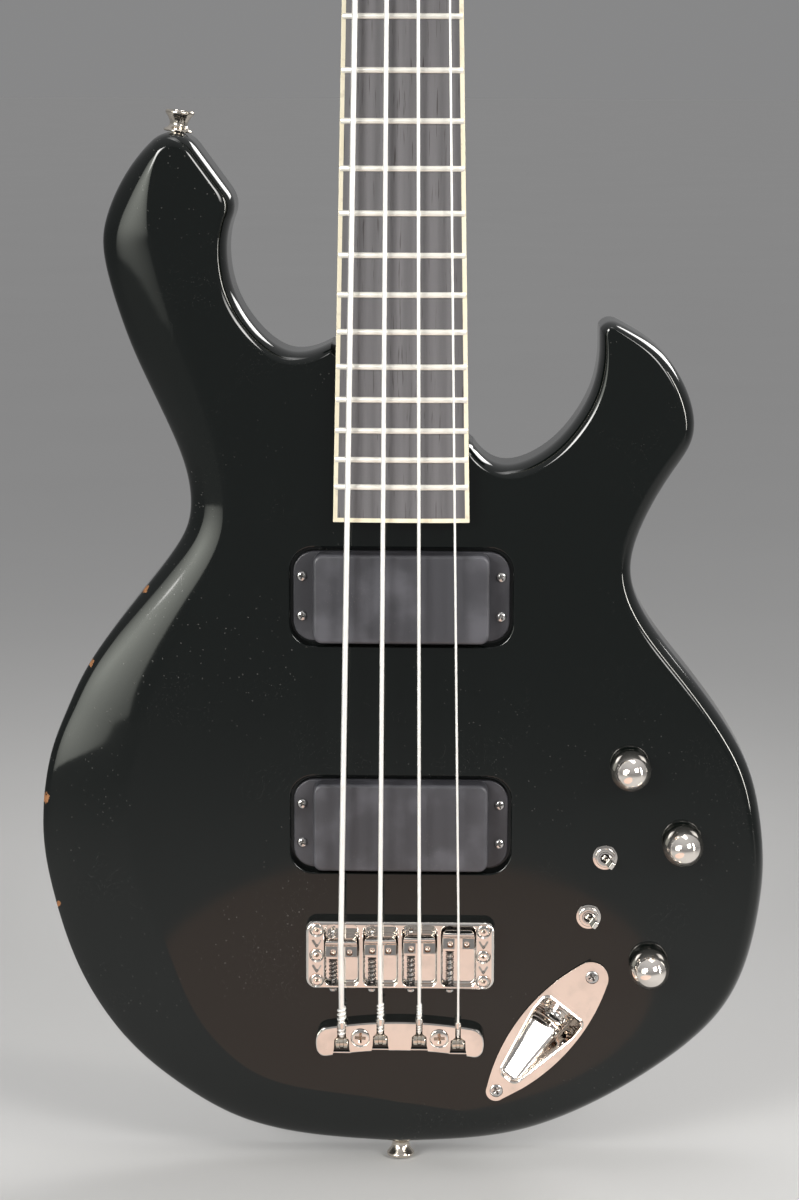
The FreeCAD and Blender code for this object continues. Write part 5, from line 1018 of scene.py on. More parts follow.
class BASS_OT_saddles(bpy.types.Operator):
    """Build the four saddles with their height screws, intonation screws and springs"""
    bl_idname = "bass.saddles"
    bl_label = "Saddles"

    def execute(self, context):
        sizes = context.scene.bass_sizes
        for index, note in enumerate(STRINGS):
            x = string_x(index)
            ridge = SADDLES[index]
            radius = GAUGES[index] / 2
            half = 7.6
            nose, tail, rear = ridge + 1.5, ridge - 7.9, ridge - 10
            deck, under, step, crest = front_y(6.6), front_y(7.6), front_y(10.4), SADDLE_CREST
            plan = self.plan(x, half, rear, nose)
            carriage = softened(slab("carriage", plan, deck, front_y(2.5)), 0.4, 2, 50)
            cut(carriage, drill(1.36, -2, 14, (x - INTONATION_X, INTONATION_Y, rear), UP, 20))
            shelf = nose - 3.6
            profile = [(nose, deck - 0.05), (nose, crest + 2.2), (ridge + 0.7, crest + 0.3), (ridge, crest),
                       (ridge - 0.9, crest + 0.35), (shelf, crest + 1.8), (shelf, step + 0.5),
                       (tail, step - 0.3), (tail, under), (nose - 2.2, under), (nose - 2.2, deck - 0.05)]
            top = softened(sided("top", profile, x - half, x + half), 0.32, 2, 25)
            plan = self.plan(x, half + 0.02, rear, nose + 0.02)
            kept_within(top, slab("mould", plan, front_y(20), front_y(1)))
            tools = [block("gap", (x - 1.9, step - 2, tail - 2), (x + 1.9, under + 2, shelf - 0.7)),
                     drill(radius + 0.25, -6, 3, (x, crest - radius + 0.12, ridge), UP, 20),
                     block("line", (x - 9, crest - 2, shelf + 0.4), (x + 9, crest + 2.3, shelf + 0.75)),
                     block("line", (x - 9, crest - 2, shelf + 1.35), (x + 9, crest + 1.6, shelf + 1.65))]
            made = [carriage]
            rings = [(1.4, -0.02), (1.4, 1.7), (1.25, 1.9), (0.82, 1.9), (0.3, 0.6)]
            for side in (-1, 1):
                foot = (x + side * 3.9, deck, ridge - 5.7)
                tools.append(drill(1.62, 0.2, 6, foot, OUT, 24))
                made.append(turned("height_screw", rings, foot, OUT, 18))
            cut(top, *tools)
            shown(joined("saddle_" + note + "_parts", made + [top]), "chrome", "saddle_" + note,
                  "saddle_" + note, angle=32)
            self.screw(note, x - INTONATION_X)
            self.spring(note, x - INTONATION_X, rear, sizes)
        return {"FINISHED"}

    def plan(self, x, half, rear, nose):
        """Outline of a saddle, its nose rounded to run clear of the channel's corners."""
        return eased([(x - half, rear, 0.7), (x + half, rear, 0.7),
                      (x + half, nose, 2.5), (x - half, nose, 2.5)], 4)

    def screw(self, note, x):
        """Threaded screw with a slotted dome, through the tail wall."""
        y, seat = INTONATION_Y, TRAY_Z - TRAY_HALF - 0.1
        thread = [(1.15, -0.6)]
        for turn in range(38):
            z = 3.2 + turn * 0.66
            thread += [(1.0, z), (1.2, z + 0.33)]
        rod = turned("thread", thread + [(0.9, 28.5)], (x, y, seat), UP, 14)
        dome = [(1.0, -0.2), (2.1, 0), (2.1, 0.7), (1.9, 1.25), (1.4, 1.65), (0.6, 1.8)]
        head = turned("dome", dome, (x, y, seat), -UP, 28)
        cut(head, block("slot", (x - 3, y - 0.3, seat - 3), (x + 3, y + 0.3, seat - 1.0)))
        name = "intonation_screw_" + note
        shown(joined(name + "_thread", [rod, head]), "steel", name, name, angle=60)

    def spring(self, note, x, rear, sizes):
        """Coil spring from the tail wall of the tray to the back of its saddle."""
        y, low, high = INTONATION_Y, TRAY_Z - CHANNEL_HALF, rear - 0.12
        radius, wire = 1.8, sizes.spring_wire / MM
        curls = sizes.spring_curls
        # The first and last curls lie flat, and the others share the span between them
        flat = 1.1 / curls
        span = high - low - wire - 2 * wire * 0.55
        rows = []
        count = 22 * curls
        for i in range(count + 1):
            share = i / count
            turn = 2 * math.pi * curls * share
            rise = min(1, max(0, (share - flat) / (1 - 2 * flat)))
            climb = wire * 0.55 * (min(share, flat) + max(0, share - 1 + flat)) / flat
            z = low + wire / 2 + climb + span * rise
            rows.append((x + radius * math.cos(turn), y + radius * math.sin(turn), z))
        coil = tube("spring_coil_" + note, rows, wire / 2, 2)
        shown(coil, "spring_black", None, "intonation_spring_" + note, angle=60)
        x * MM
        y * MM
        low * MM
        x * MM
        y * MM
        high * MM
        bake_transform(coil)


def tail_z(x):
    """Middle line of the arched tailpiece."""
    return TAIL_Z - TAIL_SAG * (x / TAIL_HALF) ** 2


def shoulder_z(index):
    """Upper end of the mouth that holds a string's ball."""
    return tail_z(string_x(index)) - TAIL_RISE + 8.4


def ball_place(index):
    """Middle of a string's ball."""
    return Vector((string_x(index), front_y(4.1), shoulder_z(index) - 3.1))


class BASS_OT_tailpiece(bpy.types.Operator):
    """Shape the arched tailpiece with its slots, and the ball ends in them"""
    bl_idname = "bass.tailpiece"
    bl_label = "Tailpiece"

    def execute(self, context):
        half, rise = TAIL_HALF, TAIL_RISE
        ends = tail_z(half)
        a, b = (-half, ends + rise), (half, ends + rise)
        c, d = (half, ends - rise), (-half, ends - rise)
        sides = [bow(a, (0, TAIL_Z + rise), b, 60), bow(b, (half + 2.2, ends), c, 20),
                 bow(c, (0, TAIL_Z - rise), d, 60), bow(d, (-half - 2.2, ends), a, 20)]
        ease = 3.6
        outline = []
        for i, side in enumerate(sides):
            corner, following = side[-1], sides[(i + 1) % 4]
            outline += [p for p in side if math.dist(p, side[0]) > ease and math.dist(p, corner) > ease]
            first = outline[-1]
            last = next(p for p in following if math.dist(p, corner) > ease)
            for k in range(1, 7):
                outline.append(tuple(bend(*np.array([first, corner, last]), k / 7)))
        top = front_y(7)
        bar = slab("tailpiece_bar", outline, top, FRONT)
        edit(bar)
        pick(bar, "EDGE", lambda edge: all(v.co.y < top + 0.01 for v in edge.verts)
             and edge.calc_face_angle(0) > 0.6)
        bpy.ops.mesh.bevel(offset=1.3, segments=2, affect="EDGES")
        leave()
        tools = []
        for index in range(4):
            x, shoulder = string_x(index), shoulder_z(index)
            groove = (GAUGES[index] + 1.5) / 2
            mouth = [(x - groove, shoulder + 12), (x + groove, shoulder + 12), (x + groove, shoulder + 0.6),
                     (x + 3.5, shoulder - 1.0), (x + 3.7, shoulder - 5.2), (x + 5.3, shoulder - 14),
                     (x - 5.3, shoulder - 14), (x - 3.7, shoulder - 5.2), (x - 3.5, shoulder - 1.0),
                     (x - groove, shoulder + 0.6)]
            tools.append(slab("mouth", mouth, top - 2, FRONT + 1))
        for side in (-1, 1):
            x = side * TAIL_SCREW_X
            tools.append(turned("sink", [(4.4, -5), (4.4, 0.1), (4.75, 0.45), (4.75, 3)],
                                (x, front_y(6.5), tail_z(x)), OUT, 40))
        cut(bar, *tools)
        softened(bar, 0.42, 3, 40)
        extras = []
        for index in range(4):
            x = string_x(index)
            edge = tail_z(x) - rise
            lip = [(x - 4.6, edge - 1.0), (x + 4.6, edge - 1.0),
                   (x + 4.6, edge - 0.2), (x - 4.6, edge - 0.2)]
            extras.append(softened(slab("lip", lip, front_y(1.5), FRONT), 0.25, 2))
            start, ridge = string_ends(index)
            way = (ridge - start).normalized()
            radius = GAUGES[index] / 2
            seat = start + way * ((tail_z(x) + rise - start.z) / way.z - 1.6)
            extras.append(turned("collar", [(radius + 0.05, -0.2), (radius + 0.8, 0), (radius + 0.95, 0.3),
                                            (radius + 0.95, 2.9), (radius + 0.75, 3.3), (radius + 0.1, 3.4)],
                                 seat, way, 24))
        shown(joined("tailpiece_casting", [bar] + extras), "chrome", "instrument", "tailpiece", angle=34)
        barrel = [(1.6, -3), (2.7, -3), (3, -2.6), (3, -1.1), (2.55, -0.7),
                  (2.55, 0.7), (3, 1.1), (3, 2.6), (2.7, 3), (1.6, 3)]
        balls = [turned("ball", barrel, ball_place(index), (1, 0, 0), 28) for index in range(4)]
        shown(joined("string_ball_barrels", balls), "nickel", "instrument", "string_ball_ends",
              slot="brass")
        return {"FINISHED"}


def string_ends(index):
    """Where a string leaves its ball and where it breaks over its saddle."""
    ball = ball_place(index)
    radius = GAUGES[index] / 2
    return ball + UP * 3, Vector((string_x(index), SADDLE_CREST - radius - 0.05, SADDLES[index]))


def eased_path(points, radii):
    """Row of points with its inner corners rounded."""
    path = [points[0]]
    for i in range(1, len(points) - 1):
        before = (points[i] - points[i - 1]).normalized()
        after = (points[i + 1] - points[i]).normalized()
        reach = radii[i - 1] * math.tan(before.angle(after) / 2)
        first, last = points[i] - before * reach, points[i] + after * reach
        path += [bend(first, points[i], last, k / 8) for k in range(9)]
    return path + [points[-1]]


def wrap(start, way, radius, wire, length, pitch):
    """Fine wire wound round the foot of a string."""
    across = way.orthogonal().normalized()
    other = way.cross(across)
    swell = radius + wire * 0.3
    rows = []
    count = int(14 * length / pitch)
    for i in range(count + 1):
        turn = 2 * math.pi * i / 14
        rows.append(start + way * (length * i / count) + across * swell * math.cos(turn)
                    + other * swell * math.sin(turn))
    return tube("twist", rows, wire / 2, 1)


class BASS_OT_strings(bpy.types.Operator):
    """Draw the four wound strings from their balls to their turns on the posts"""
    bl_idname = "bass.strings"
    bl_label = "Strings"

    def execute(self, context):
        for index, note in enumerate(STRINGS):
            gauge = GAUGES[index]
            radius = gauge / 2
            start, ridge = string_ends(index)
            post, side = post_place(index)
            nut = Vector((string_x(index, NUT_PITCH), FRET_TOP - 0.6 - radius, NUT_Z + 2.5))
            wind = POST_RADIUS + 0.3 + radius
            top = WIND_Y + radius + 0.5
            away = Vector((post.x - nut.x, 0, post.z - nut.z))
            heading = math.atan2(away.z, away.x) + side * math.asin(wind / away.length)
            reach = math.sqrt(away.length ** 2 - wind ** 2)
            touch = Vector((nut.x + reach * math.cos(heading), top, nut.z + reach * math.sin(heading)))
            path = eased_path([start, ridge, nut, touch], [6, 14])
            over, beyond = path[1:10], path[10:]
            first = math.atan2(touch.z - post.z, touch.x - post.x)
            turns, steps, pitch = 2, 32, gauge + 0.55
            for i in range(1, turns * steps + 1):
                angle = first - side * 2 * math.pi * i / steps
                beyond.append(Vector((post.x + wind * math.cos(angle), top + pitch * i / steps,
                                      post.z + wind * math.sin(angle))))
            way = (ridge - start).normalized()
            foot = start + way * ((tail_z(start.x) + TAIL_RISE - start.z) / way.z + 1.9)
            joint = ridge + (nut - ridge).normalized() * 2.5
            rise = [start.lerp(over[0], k / 20) for k in range(20)]
            pieces = [tube("run", rise + over + [joint], radius)]
            if note != "g":
                pieces.append(wrap(foot, way, radius, radius * 0.85, 7.5, radius * 1.75))
            pieces.append(wrap(start + way * 0.6, way, radius, radius * 0.8, 5.5, radius * 1.6))
            self.stretched(joined("string_tail_" + note, pieces), note, foot, ridge - way * 2)
            self.stretched(tube("wound_string_" + note, [joint] + beyond, radius), note, nut, joint)
        return {"FINISHED"}

    def stretched(self, piece, note, still, moved):
        """A length of string, shaded and painted; its still and moved ends are not used."""
        shown(piece, "string_wire", None, "string_" + note, angle=60)
        tuple(still * MM)
        tuple(moved * MM)
        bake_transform(piece)


class BASS_OT_knobs(bpy.types.Operator):
    """Turn the three domed control knobs"""
    bl_idname = "bass.knobs"
    bl_label = "Knobs"

    def execute(self, context):
        girdle = 9.6
        rings = [(7.5, 0), (7.85, 0.3), (7.95, 3.4), (8.15, 3.8), (8.9, 4.1), (9.35, 4.45), (9.55, 4.9),
                 (girdle, 5.5)]
        for degrees in (8, 16, 24, 32, 40, 48, 56, 64, 71, 77, 82, 86, 88.5):
            lean = math.radians(degrees)
            rings.append((girdle * math.cos(lean), 5.9 + 12.0 * math.sin(lean)))
        for (x, z), place in zip(KNOBS, ("upper", "middle", "lower")):
            seat = Vector((x, front_y(0.5), z))
            knob = turned("dome", rings, seat, OUT, 72)
            cut(knob, drill(6.4, -1, 3.8, seat, OUT, 32))
            shaft = turned("shaft", [(2.9, 0), (3.0, 0.2), (3.0, 20)], (x, FRONT + 9, z), OUT, 24)
            shown(joined("knob_" + place + "_dome", [knob, shaft]), "knob_chrome", "knob_" + place,
                  "knob_" + place, slot="chrome", angle=30)
        return {"FINISHED"}


class BASS_OT_switches(bpy.types.Operator):
    """Fit the nuts of the controls and the two toggle levers"""
    bl_idname = "bass.switches"
    bl_label = "Switches and nuts"

    def execute(self, context):
        nuts = []
        for x, z in KNOBS:
            nut = turned("pot_nut", [(5.0, 0), (5.4, 0.2), (5.4, 1.8), (5.0, 2.0)], (x, FRONT, z), OUT, 6)
            nuts.append(cut(nut, drill(3.66, -1, 4, (x, FRONT, z), OUT, 24)))
        rings = [(6, 0), (6, 0.5), (5.85, 0.75), (4.75, 0.8), (4.6, 0.9), (4.55, 1.7), (4.3, 1.95),
                 (3.6, 2.0)]
        for x, z in TOGGLES:
            nut = turned("dress_nut", rings, (x, FRONT, z), OUT, 48)
            nuts.append(cut(nut, drill(3.16, -1, 4, (x, FRONT, z), OUT, 32)))
        face = jack_point(*JACK_FACE)
        washer = turned("jack_washer", [(7.6, 0), (7.7, 0.15), (7.7, 0.5), (7.5, 0.7)], face, JACK_OUT, 40)
        ring = turned("jack_nut", [(6.6, 0.7), (6.8, 0.8), (6.8, 2.1), (6.4, 2.5), (5.6, 2.6)],
                      face, JACK_OUT, 40)
        for piece in (washer, ring):
            nuts.append(cut(piece, drill(5.08, -2, 6, face, JACK_OUT, 32)))
        shown(joined("control_nut_set", nuts), "chrome", "instrument", "control_nuts", angle=32)
        for (x, z), place in zip(TOGGLES, ("upper", "lower")):
            barrel = turned("barrel", [(1.6, -1.25), (1.75, -1.1), (1.75, 1.1), (1.6, 1.25)], sides=24)
            stem = turned("stem", [(0.85, 0), (1.0, 2.2), (1.1, 4.6), (0.8, 5.6)], axis=OUT, sides=20)
            bat = ringed_box("bat", 0, 0, 2.4, 3.6, 0.5, [(0.7, -4.0), (0.1, -5.2), (0, -6.2), (0, -9.9)]
                             + quarter(0.5, -10.5, 1, 3)[1:], 4)
            lever = joined("toggle_bat_" + place, [barrel, stem, bat])
            lean = Quaternion(UP, math.radians(20))
            swing = Quaternion((0, 1, 0), math.radians(32))
            lever.rotation_mode = "QUATERNION"
            lever.rotation_quaternion = swing @ lean
            lever.location = (x, FRONT, z)
            settle(lever)
            shown(lever, "chrome", "toggle_lever_" + place, "toggle_lever_" + place, angle=40)
        return {"FINISHED"}


def jack_point(u, v, height):
    """Point of the jack plate: along it, across it and out of the body."""
    return JACK_FOOT + JACK_RUN * u + JACK_ACROSS * v + OUT * height


def cup_plan(grow):
    """Outline of the cup's mouth, along and across the plate."""
    toe, wide, end = 4.2 + grow, 11.4 + grow, 52.4 + grow
    return eased([(8.6 - grow, -toe, 4), (8.6 - grow, toe, 4), (43.5, wide, 9), (end, wide - 0.2, 3.4),
                  (end, -wide + 0.2, 3.4), (43.5, -wide, 9)], 7)


def divided(plan):
    """The cup's outline with points added along its straight runs."""
    base = cup_plan(0.0)
    points = []
    for i, (u, v) in enumerate(plan):
        after = plan[(i + 1) % len(plan)]
        count = max(1, round(math.dist(base[i], base[(i + 1) % len(base)]) / 1.5))
        points += [(u + (after[0] - u) * k / count, v + (after[1] - v) * k / count) for k in range(count)]
    return points


class BASS_OT_jack(bpy.types.Operator):
    """Press the boat-shaped jack plate with its sloping cup"""
    bl_idname = "bass.jack"
    bl_label = "Jack plate"

    def execute(self, context):
        span = JACK_SPAN
        outline = (bow((-1.5, -4.68), (-5.2, 0), (-1.5, 4.68), 12)[:-1]
                   + bow((-1.5, 4.68), (span * 0.55, 14.3), (span + 1, 8.2), 30)[:-1]
                   + bow((span + 1, 8.2), (span + 7.38, 0), (span + 1, -8.2), 16)[:-1]
                   + bow((span + 1, -8.2), (span * 0.55, -14.3), (-1.5, -4.68), 30)[:-1])
        plate = extruded("boat", [jack_point(u, v, 0) for u, v in outline], OUT * 1.3)
        softened(plate, 0.55, 3, 50)
        mouth = extruded("mouth", [jack_point(u, v, -3) for u, v in cup_plan(0.55)], OUT * 9)
        sink = [(1.9, -3), (3.1, -0.9), (3.2, 0.3), (3.2, 3)]
        sinks = [turned("sink", sink, jack_point(u, 0, 1.0), OUT, 32) for u in (0, span)]
        cut(plate, mouth, *sinks)
        rim = divided(cup_plan(0.0))
        end = max(u for u, v in rim)
        rings = [np.array([jack_point(u, v, h) for u, v in divided(cup_plan(grow))])
                 for grow, h in ((1.25, 1.15), (1.1, 1.7), (0.65, 1.95), (0.25, 1.75), (0.0, 1.1))]
        # Down the cup, each ring's share of the full depth and of the mouth's width
        for share, pull in ((0.12, 1), (0.3, 0.995), (0.47, 0.985), (0.62, 0.965), (0.75, 0.93), (0.85, 0.88),
                            (0.925, 0.8), (0.97, 0.7), (0.99, 0.58), (1, 0.4), (1, 0.0)):
            ring = []
            for u, v in rim:
                back = max(0.0, min(1.0, (u - 43) / (end - 43)))
                lean = 9.56 * share * back
                floor = (u - lean - 9) * math.tan(JACK_SLOPE)
                deep = max(0.35 * share, min(floor, 18.0) * share)
                ring.append(jack_point(u - lean, v * pull, -deep))
            rings.append(np.array(ring))
        cup = skin("cup", rings, caps=False)
        modified(cup, "SOLIDIFY", thickness=0.7, offset=-1)
        shown(joined("jack_plate_pressing", [plate, cup]), "chrome", "instrument", "jack_plate", angle=36)
        rings = [(6.9, -28), (7, -27.6), (7, -1.25), (5, -1.25), (5, 3.6), (4.7, 4.1), (3.7, 4.15),
                 (3.25, 3.8), (3.2, -20)]
        barrel = turned("output_jack_barrel", rings, jack_point(*JACK_FACE), JACK_OUT, 36)
        shown(barrel, "steel", "instrument", "output_jack", slot="chrome", angle=36)
        return {"FINISHED"}


class BASS_OT_covers(bpy.types.Operator):
    """Lay the control cover and the truss rod cover, and set the small screws"""
    bl_idname = "bass.covers"
    bl_label = "Covers"

    def execute(self, context):
        cx, cz = CAVITY_MIDDLE
        places = []
        for i, (x, z) in enumerate(CAVITY):
            here = Vector((x, z))
            before = Vector(CAVITY[i - 1]) - here
            after = Vector(CAVITY[(i + 1) % len(CAVITY)]) - here
            away = here - Vector((cx, cz))
            drawn_in = COVER_CORNER * (1 / math.sin(before.angle(after) / 2) - 1)
            away *= (away.length + 3.5 - drawn_in) / away.length
            places.append((cx + away.x, BACK - 0.5, cz + away.y))
        cover = softened(slab("control_cover_plate", cover_outline(6.9), BACK, BACK - 2.45), 0.4, 3, 50)
        cut(cover, *[turned("sink", [(1.4, -2.4), (2.6, -1.0), (2.75, 0.0), (3.15, 0.6)], place, -OUT, 28)
                     for place in places])
        shown(cover, "ear_plastic", "instrument", "control_cover", slot="black_plastic")
        low, high = HEAD_FOOT, HEAD_FOOT + 26 + 15.2
        waist = (low + high) / 2
        shape = eased([(-9.8, low, 3), (9.8, low, 3), (9.8, waist, 10), (6.1, high, 4), (-6.1, high, 4),
                       (-9.8, waist, 10)], 6)
        small = softened(slab("truss_plate", shape, HEAD_FRONT - 1.6, HEAD_FRONT), 0.4, 3, 50)
        shown(small, "black_plastic", "instrument", "truss_rod_cover")
        seats = [(place, -OUT, 0.7 * i) for i, place in enumerate(places)]
        for x, z in ((-6, low + 3.8), (6, low + 3.8), (0, high - 3.8)):
            seats.append(((x, HEAD_FRONT - 1.65, z), OUT, x))
        heads = copies(screw_head("small_screw", 2.5, 0.45, 1.2), seats)
        seats = [(jack_point(u, 0, 1.05), OUT, 0.5) for u in (0, JACK_SPAN)]
        heads += copies(screw_head("plate_screw", 3.05, 0.5, 1.2), seats)
        shown(joined("cover_screw_heads", heads), "steel", "instrument", "cover_screws")
        return {"FINISHED"}


class BASS_OT_buttons(bpy.types.Operator):
    """Turn the strap buttons and the neck's ferrules, with their screws"""
    bl_idname = "bass.buttons"
    bl_label = "Strap buttons and ferrules"

    def execute(self, context):
        profile = [(6.3, 0), (6.7, 0.25), (6.8, 0.7), (6.4, 1.3), (5.1, 2.0), (4.35, 2.8), (4.2, 3.6),
                   (4.3, 4.6), (4.9, 6.0), (6.0, 7.6), (6.6, 8.3), (6.8, 8.8), (6.75, 9.4), (6.4, 9.85),
                   (5.6, 9.95), (4.3, 9.6)]
        horn = Vector((-105.5, 0, 488.2))
        horn_way = Vector((1.4, 0, 12)).normalized()
        seats = ((Vector((0, 0, 0)), -UP), (horn, horn_way))
        buttons = [turned("button", profile, seat, way, 56) for seat, way in seats]
        shown(joined("strap_button_pair", buttons), "nickel", "instrument", "strap_buttons", slot="chrome")
        screw_set("strap_screw_heads", screw_head("strap_screw", 3.9, 0.35, 2),
                  [(seat + way * 9.6, way, 0.4) for seat, way in seats], "chrome", "strap_button_screws")
        rings = [(6.4, -5), (6.45, -0.5), (6.45, -0.1), (6.2, 0.0), (5.5, -0.02), (4.7, -0.4)]
        ferrules = []
        for seat in neck_screw_seats():
            ferrule = turned("ferrule", rings, seat, -OUT, 40)
            ferrules.append(cut(ferrule, turned("seat", [(2.5, -6), (4.5, -2.4), (4.5, 2)], seat, -OUT, 32)))
        shown(joined("neck_ferrule_set", ferrules), "chrome", "instrument", "neck_ferrules")
        places = [((x, y - 0.6, z), -OUT, 0.3 * z) for x, y, z in neck_screw_seats()]
        screw_set("neck_screw_heads", screw_head("neck_screw", 4.3, 0.5, 2), places, "steel", "neck_screws")
        return {"FINISHED"}


def post_place(index):
    """Foot of a tuner's post on the headstock, and the side its key points to."""
    side = -1 if index < 2 else 1
    x, rise = (25, 58) if index in (0, 3) else (20, 126)
    return Vector((side * x, HEAD_FRONT, NUT_Z + rise)), side


class BASS_OT_tuners(bpy.types.Operator):
    """Build the closed tuners: cases, bushes, posts and keys"""
    bl_idname = "bass.tuners"
    bl_label = "Tuners"

    def execute(self, context):
        cases, bushes, seats = [], [], []
        for index, note in enumerate(STRINGS):
            post, side = post_place(index)
            way = Vector((side, 0, 0))
            axis = Vector((post.x + side * 11, HEAD_BACK + 7.3, post.z + 6))
            middle = post.z + 3
            case = ringed_box("case", post.x, middle, 22, 27, 5,
                              [(0, HEAD_BACK), (0, HEAD_BACK + 10)] + quarter(3, HEAD_BACK + 13, -1, 5), 8)
            end = middle - 13.5 - 3.2
            lug = eased([(post.x - 4.2, end + 5, 0.3), (post.x - 4.2, end - 4, 3.8),
                         (post.x + 4.2, end - 4, 3.8), (post.x + 4.2, end + 5, 0.3)], 6)
            foot = softened(slab("lug", lug, HEAD_BACK, HEAD_BACK + 1.5), 0.35, 2, 50)
            cut(case, drill(KEY_BORE, -20, 4, axis, way, 28),
                drill(POST_BORE, -4, 3.2, (post.x, HEAD_BACK, post.z), -OUT, 28))
            collar = cut(turned("collar", [(5, -0.4), (5, 0.1), (4.6, 0.3)], axis, way, 32),
                         drill(KEY_BORE, -3, 3, axis, way, 28))
            cases += [case, foot, collar]
            seats.append(((post.x, HEAD_BACK + 1.5, end), -OUT, 0.9 * index))
            rings = [(6.4, -9.9), (6.4, 0.0), (8.2, 0.0), (8.5, 0.15), (8.5, 0.7), (8.1, 1.1), (7.2, 1.2),
                     (5.6, 1.2)]
            bush = turned("bush", rings, post, OUT, 48)
            bushes.append(cut(bush, drill(POST_BORE, -12, 4, post, OUT, 32)))
            rings = [(POST_RADIUS, -17.5), (POST_RADIUS, 2.2), (4.35, 3.6), (4.3, 6), (4.35, 9.6),
                     (4.7, 11.2), (5.5, 12.2), (5.9, 12.8), (6.0, 13.4), (6.0, 15.8), (5.75, 16.5),
                     (5.0, 16.95), (2.5, 17)]
            peg = turned("tuner_post_turning_" + note, rings, post, OUT, 44)
            tip = HEAD_FRONT - 17
            cut(peg, block("slot", (post.x - 1.4, tip - 2, post.z - 8),
                           (post.x + 1.4, tip + 4.5, post.z + 8)))
            softened(peg, 0.18, 2, 50)
            shown(peg, "chrome", "tuner_post_" + note, "tuner_post_" + note)
            rings = [(2.6, -18.8), (2.6, 0.5), (4.1, 0.5), (4.2, 0.7), (4.2, 2.3), (3.9, 2.6), (2.9, 2.9),
                     (2.6, 4), (2.6, 9), (3.0, 13), (3.3, 16)]
            shaft = turned("shaft", rings, axis, way, 32)
            paddle = self.paddle(axis + way * 27, side)
            shown(joined("tuner_key_paddle_" + note, [shaft, paddle]), "chrome", "tuner_key_" + note,
                  "tuner_key_" + note, angle=40)
        shown(joined("tuner_case_set", cases), "chrome", "instrument", "tuner_cases")
        shown(joined("tuner_bush_set", bushes), "chrome", "instrument", "tuner_bushes")
        head = screw_head("tuner_screw", 2.5, 1.3, 0.2)
        screw_set("tuner_screw_heads", head, seats, "steel", "tuner_screws")
        return {"FINISHED"}

    def paddle(self, middle, side):
        """Finger paddle, dished on both faces."""
        outline = eased([(-9, -4, 3), (-9, 4, 3), (-3.5, 12.4, 6), (5, 12.4, 6), (9, 8, 6), (9, -8, 6),
                         (5, -12.4, 6), (-3.5, -12.4, 6)], 6)
        face = [(0.12, 2.1), (0.55, 2.5), (0.78, 3.3), (0.9, 3.5), (0.97, 3.0), (1, 1.8)]
        rings = []
        for shrink, depth in [(shrink, -depth) for shrink, depth in face] + face[::-1]:
            rings.append(np.array([(middle.x + side * u * shrink, middle.y + depth, middle.z + v * shrink)
                                   for u, v in outline]))
        return skin("paddle", rings)


NODE_FINISHES = {
    "dark_board": ("fretboard",),
    "ivory": ("fretboard_binding", "nut"),
    "steel": ("truss_rod", "potentiometers", "toggle_switches"),
    "coil_copper": ("pickup_coils",),
    "magnet": ("pickup_magnets",),
}


class BASS_OT_finishes(bpy.types.Operator):
    """Make the finishes and paint the solids that no piece stands for"""
    bl_idname = "bass.finishes"
    bl_label = "Finishes"

    def execute(self, context):
        make_finishes(context.scene.bass_colours)
        for finish, nodes in NODE_FINISHES.items():
            for node in nodes:
                slots = bpy.data.objects[node].data.materials
                slots.clear()
                slots.append(FINISHES[finish])
        return {"FINISHED"}


def lamp(name, place, aim, size, power, colour, spread, shape="RECTANGLE"):
    """A soft lamp that looks at a point and lights no wider than its spread."""
    clear()
    bpy.ops.object.light_add(type="AREA", location=place)
    light = bpy.context.object
    light.name = light.data.name = name
    light.data.shape = shape
    light.data.size, light.data.size_y = size
    light.data.energy = power
    light.data.color = colour
    light.data.spread = math.radians(spread)
    light.rotation_euler = (Vector(aim) - Vector(place)).to_track_quat("-Z", "Y").to_euler()
    light.visible_camera = False


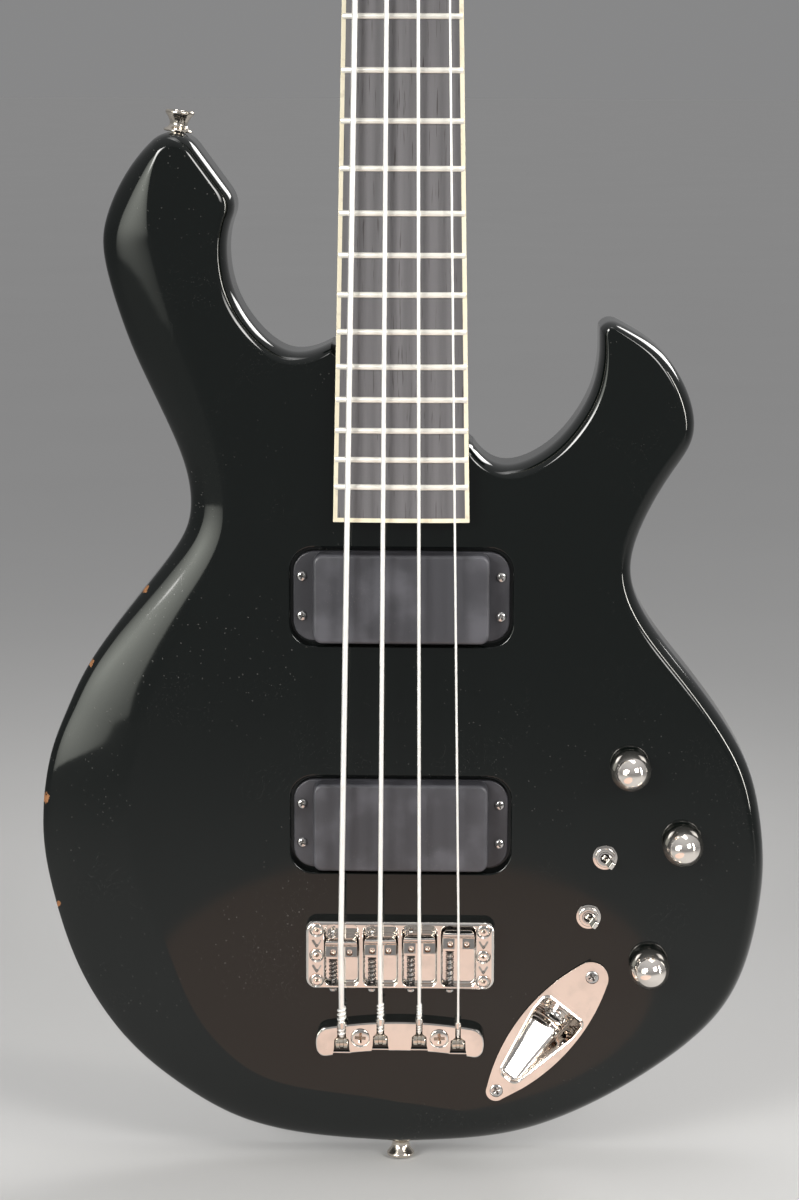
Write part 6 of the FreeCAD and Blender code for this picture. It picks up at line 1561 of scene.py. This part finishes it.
class BASS_OT_stage(bpy.types.Operator):
    """Set the pale floor, the soft studio light and the camera"""
    bl_idname = "bass.stage"
    bl_label = "Stage"

    def execute(self, context):
        scene = context.scene
        scene.view_settings.view_transform = "Standard"
        clear()
        bpy.ops.mesh.primitive_plane_add(size=60, location=(0, 0, cad_low.z - 0.001))
        floor = named("pale_floor")
        paint = Paint("pale_floor")
        tone = paint.noise(3, 3)
        colour = scene.bass_colours.floor
        shade = paint.mix(tone, tuple(colour), toned(colour, 1.06))
        floor.data.materials.append(paint.finish(base_color=shade, roughness=0.75))
        world = bpy.data.worlds.new("studio")
        world.use_nodes = True
        nodes, links = world.node_tree.nodes, world.node_tree.links
        way = nodes.new("ShaderNodeTexCoord")
        height = nodes.new("ShaderNodeSeparateXYZ")
        ramp = nodes.new("ShaderNodeValToRGB")
        ramp.color_ramp.elements[0].position = 0.02
        ramp.color_ramp.elements[0].color = (0.2432, 0.2432, 0.245, 1)
        ramp.color_ramp.elements[1].position = 0.98
        ramp.color_ramp.elements[1].color = (0.54, 0.54, 0.543, 1)
        links.new(way.outputs["Generated"], height.inputs[0])
        links.new(height.outputs["Z"], ramp.inputs[0])
        links.new(ramp.outputs[0], nodes["Background"].inputs["Color"])
        scene.world = world
        lamp("key", (-1.15, -1.75, 1.05), (0, 0, 0.32), (1.0, 0.7), 2.6, (1, 0.985, 0.96), 38)
        lamp("overhead", (0.1, 0.15, 2.1), (0.05, 0.1, 0), (1.7, 0.6), 0.95, (1, 0.99, 0.98), 50)
        lamp("right_window", (1.3, -1.5, 1.2), (0.05, 0, 0.25), (0.8, 0.9), 2.2, (1, 0.98, 0.95), 42)
        lamp("left_window", (-1.35, -1.3, 0.5), (-0.1, 0, 0.25), (1.0, 1.0), 1.1, (0.97, 1, 0.9), 50)
        lamp("right_strip", (1.7, -0.55, 0.6), (0.1, 0, 0.25), (0.14, 1.1), 1.8, (1, 0.97, 0.9), 60)
        lamp("back_window", (1.2, 1.5, 1.3), (0, 0, 0.45), (0.8, 0.9), 2, (1, 0.99, 0.97), 45)
        lamp("warm_card", (-0.006, -0.33, 0.0), (-0.006, -0.33, 1), (0.29, 0.52), 0.16, (1, 0.42, 0.18), 170,
             "ELLIPSE")
        clear()
        bpy.ops.object.camera_add(location=(0.0346, -1.5062, 0.5297))
        camera = bpy.context.object
        camera.name = "photo_camera"
        camera.data.lens = 96
        camera.data.sensor_width = 36
        camera.data.sensor_fit = "AUTO"
        sight = Vector((-0.00063, -0.0315, 0.2725)) - camera.location
        roll = Quaternion((0, 0, 1), math.radians(0.16))
        camera.rotation_euler = (sight.to_track_quat("-Z", "Y") @ roll).to_euler()
        scene.camera = camera
        return {"FINISHED"}


class BASS_PT_sidebar(bpy.types.Panel):
    """Sizes, colours and pieces of the bass"""
    bl_idname = "BASS_PT_sidebar"
    bl_label = "Electric Bass Guitar"
    bl_space_type = "VIEW_3D"
    bl_region_type = "UI"
    bl_category = "Bass"

    def draw(self, context):
        for group in (context.scene.bass_sizes, context.scene.bass_colours):
            box = self.layout.box()
            for name in group.bl_rna.properties.keys():
                if name not in {"rna_type", "name"}:
                    box.prop(group, name)
        for operator in OPERATORS:
            self.layout.operator(operator.bl_idname)


GROUPS = (BassSizes, BassColours)
OPERATORS = (BASS_OT_finishes, BASS_OT_body, BASS_OT_neck, BASS_OT_frets, BASS_OT_pickups,
             BASS_OT_bridge, BASS_OT_saddles, BASS_OT_tailpiece, BASS_OT_strings, BASS_OT_knobs,
             BASS_OT_switches, BASS_OT_jack, BASS_OT_covers, BASS_OT_buttons, BASS_OT_tuners,
             BASS_OT_stage)
CLASSES = GROUPS + OPERATORS + (BASS_PT_sidebar,)


def register():
    for kind in CLASSES:
        bpy.utils.register_class(kind)
    bpy.types.Scene.bass_sizes = bpy.props.PointerProperty(type=BassSizes)
    bpy.types.Scene.bass_colours = bpy.props.PointerProperty(type=BassColours)


def unregister():
    del bpy.types.Scene.bass_sizes
    del bpy.types.Scene.bass_colours
    for kind in reversed(CLASSES):
        bpy.utils.unregister_class(kind)


def main():
    register()
    bpy.ops.bass.finishes()
    bpy.ops.bass.body()
    bpy.ops.bass.neck()
    bpy.ops.bass.frets()
    bpy.ops.bass.pickups()
    bpy.ops.bass.bridge()
    bpy.ops.bass.saddles()
    bpy.ops.bass.tailpiece()
    bpy.ops.bass.strings()
    bpy.ops.bass.knobs()
    bpy.ops.bass.switches()
    bpy.ops.bass.jack()
    bpy.ops.bass.covers()
    bpy.ops.bass.buttons()
    bpy.ops.bass.tuners()
    bpy.ops.bass.stage()
    clear()


if __name__ == "__main__":
    main()
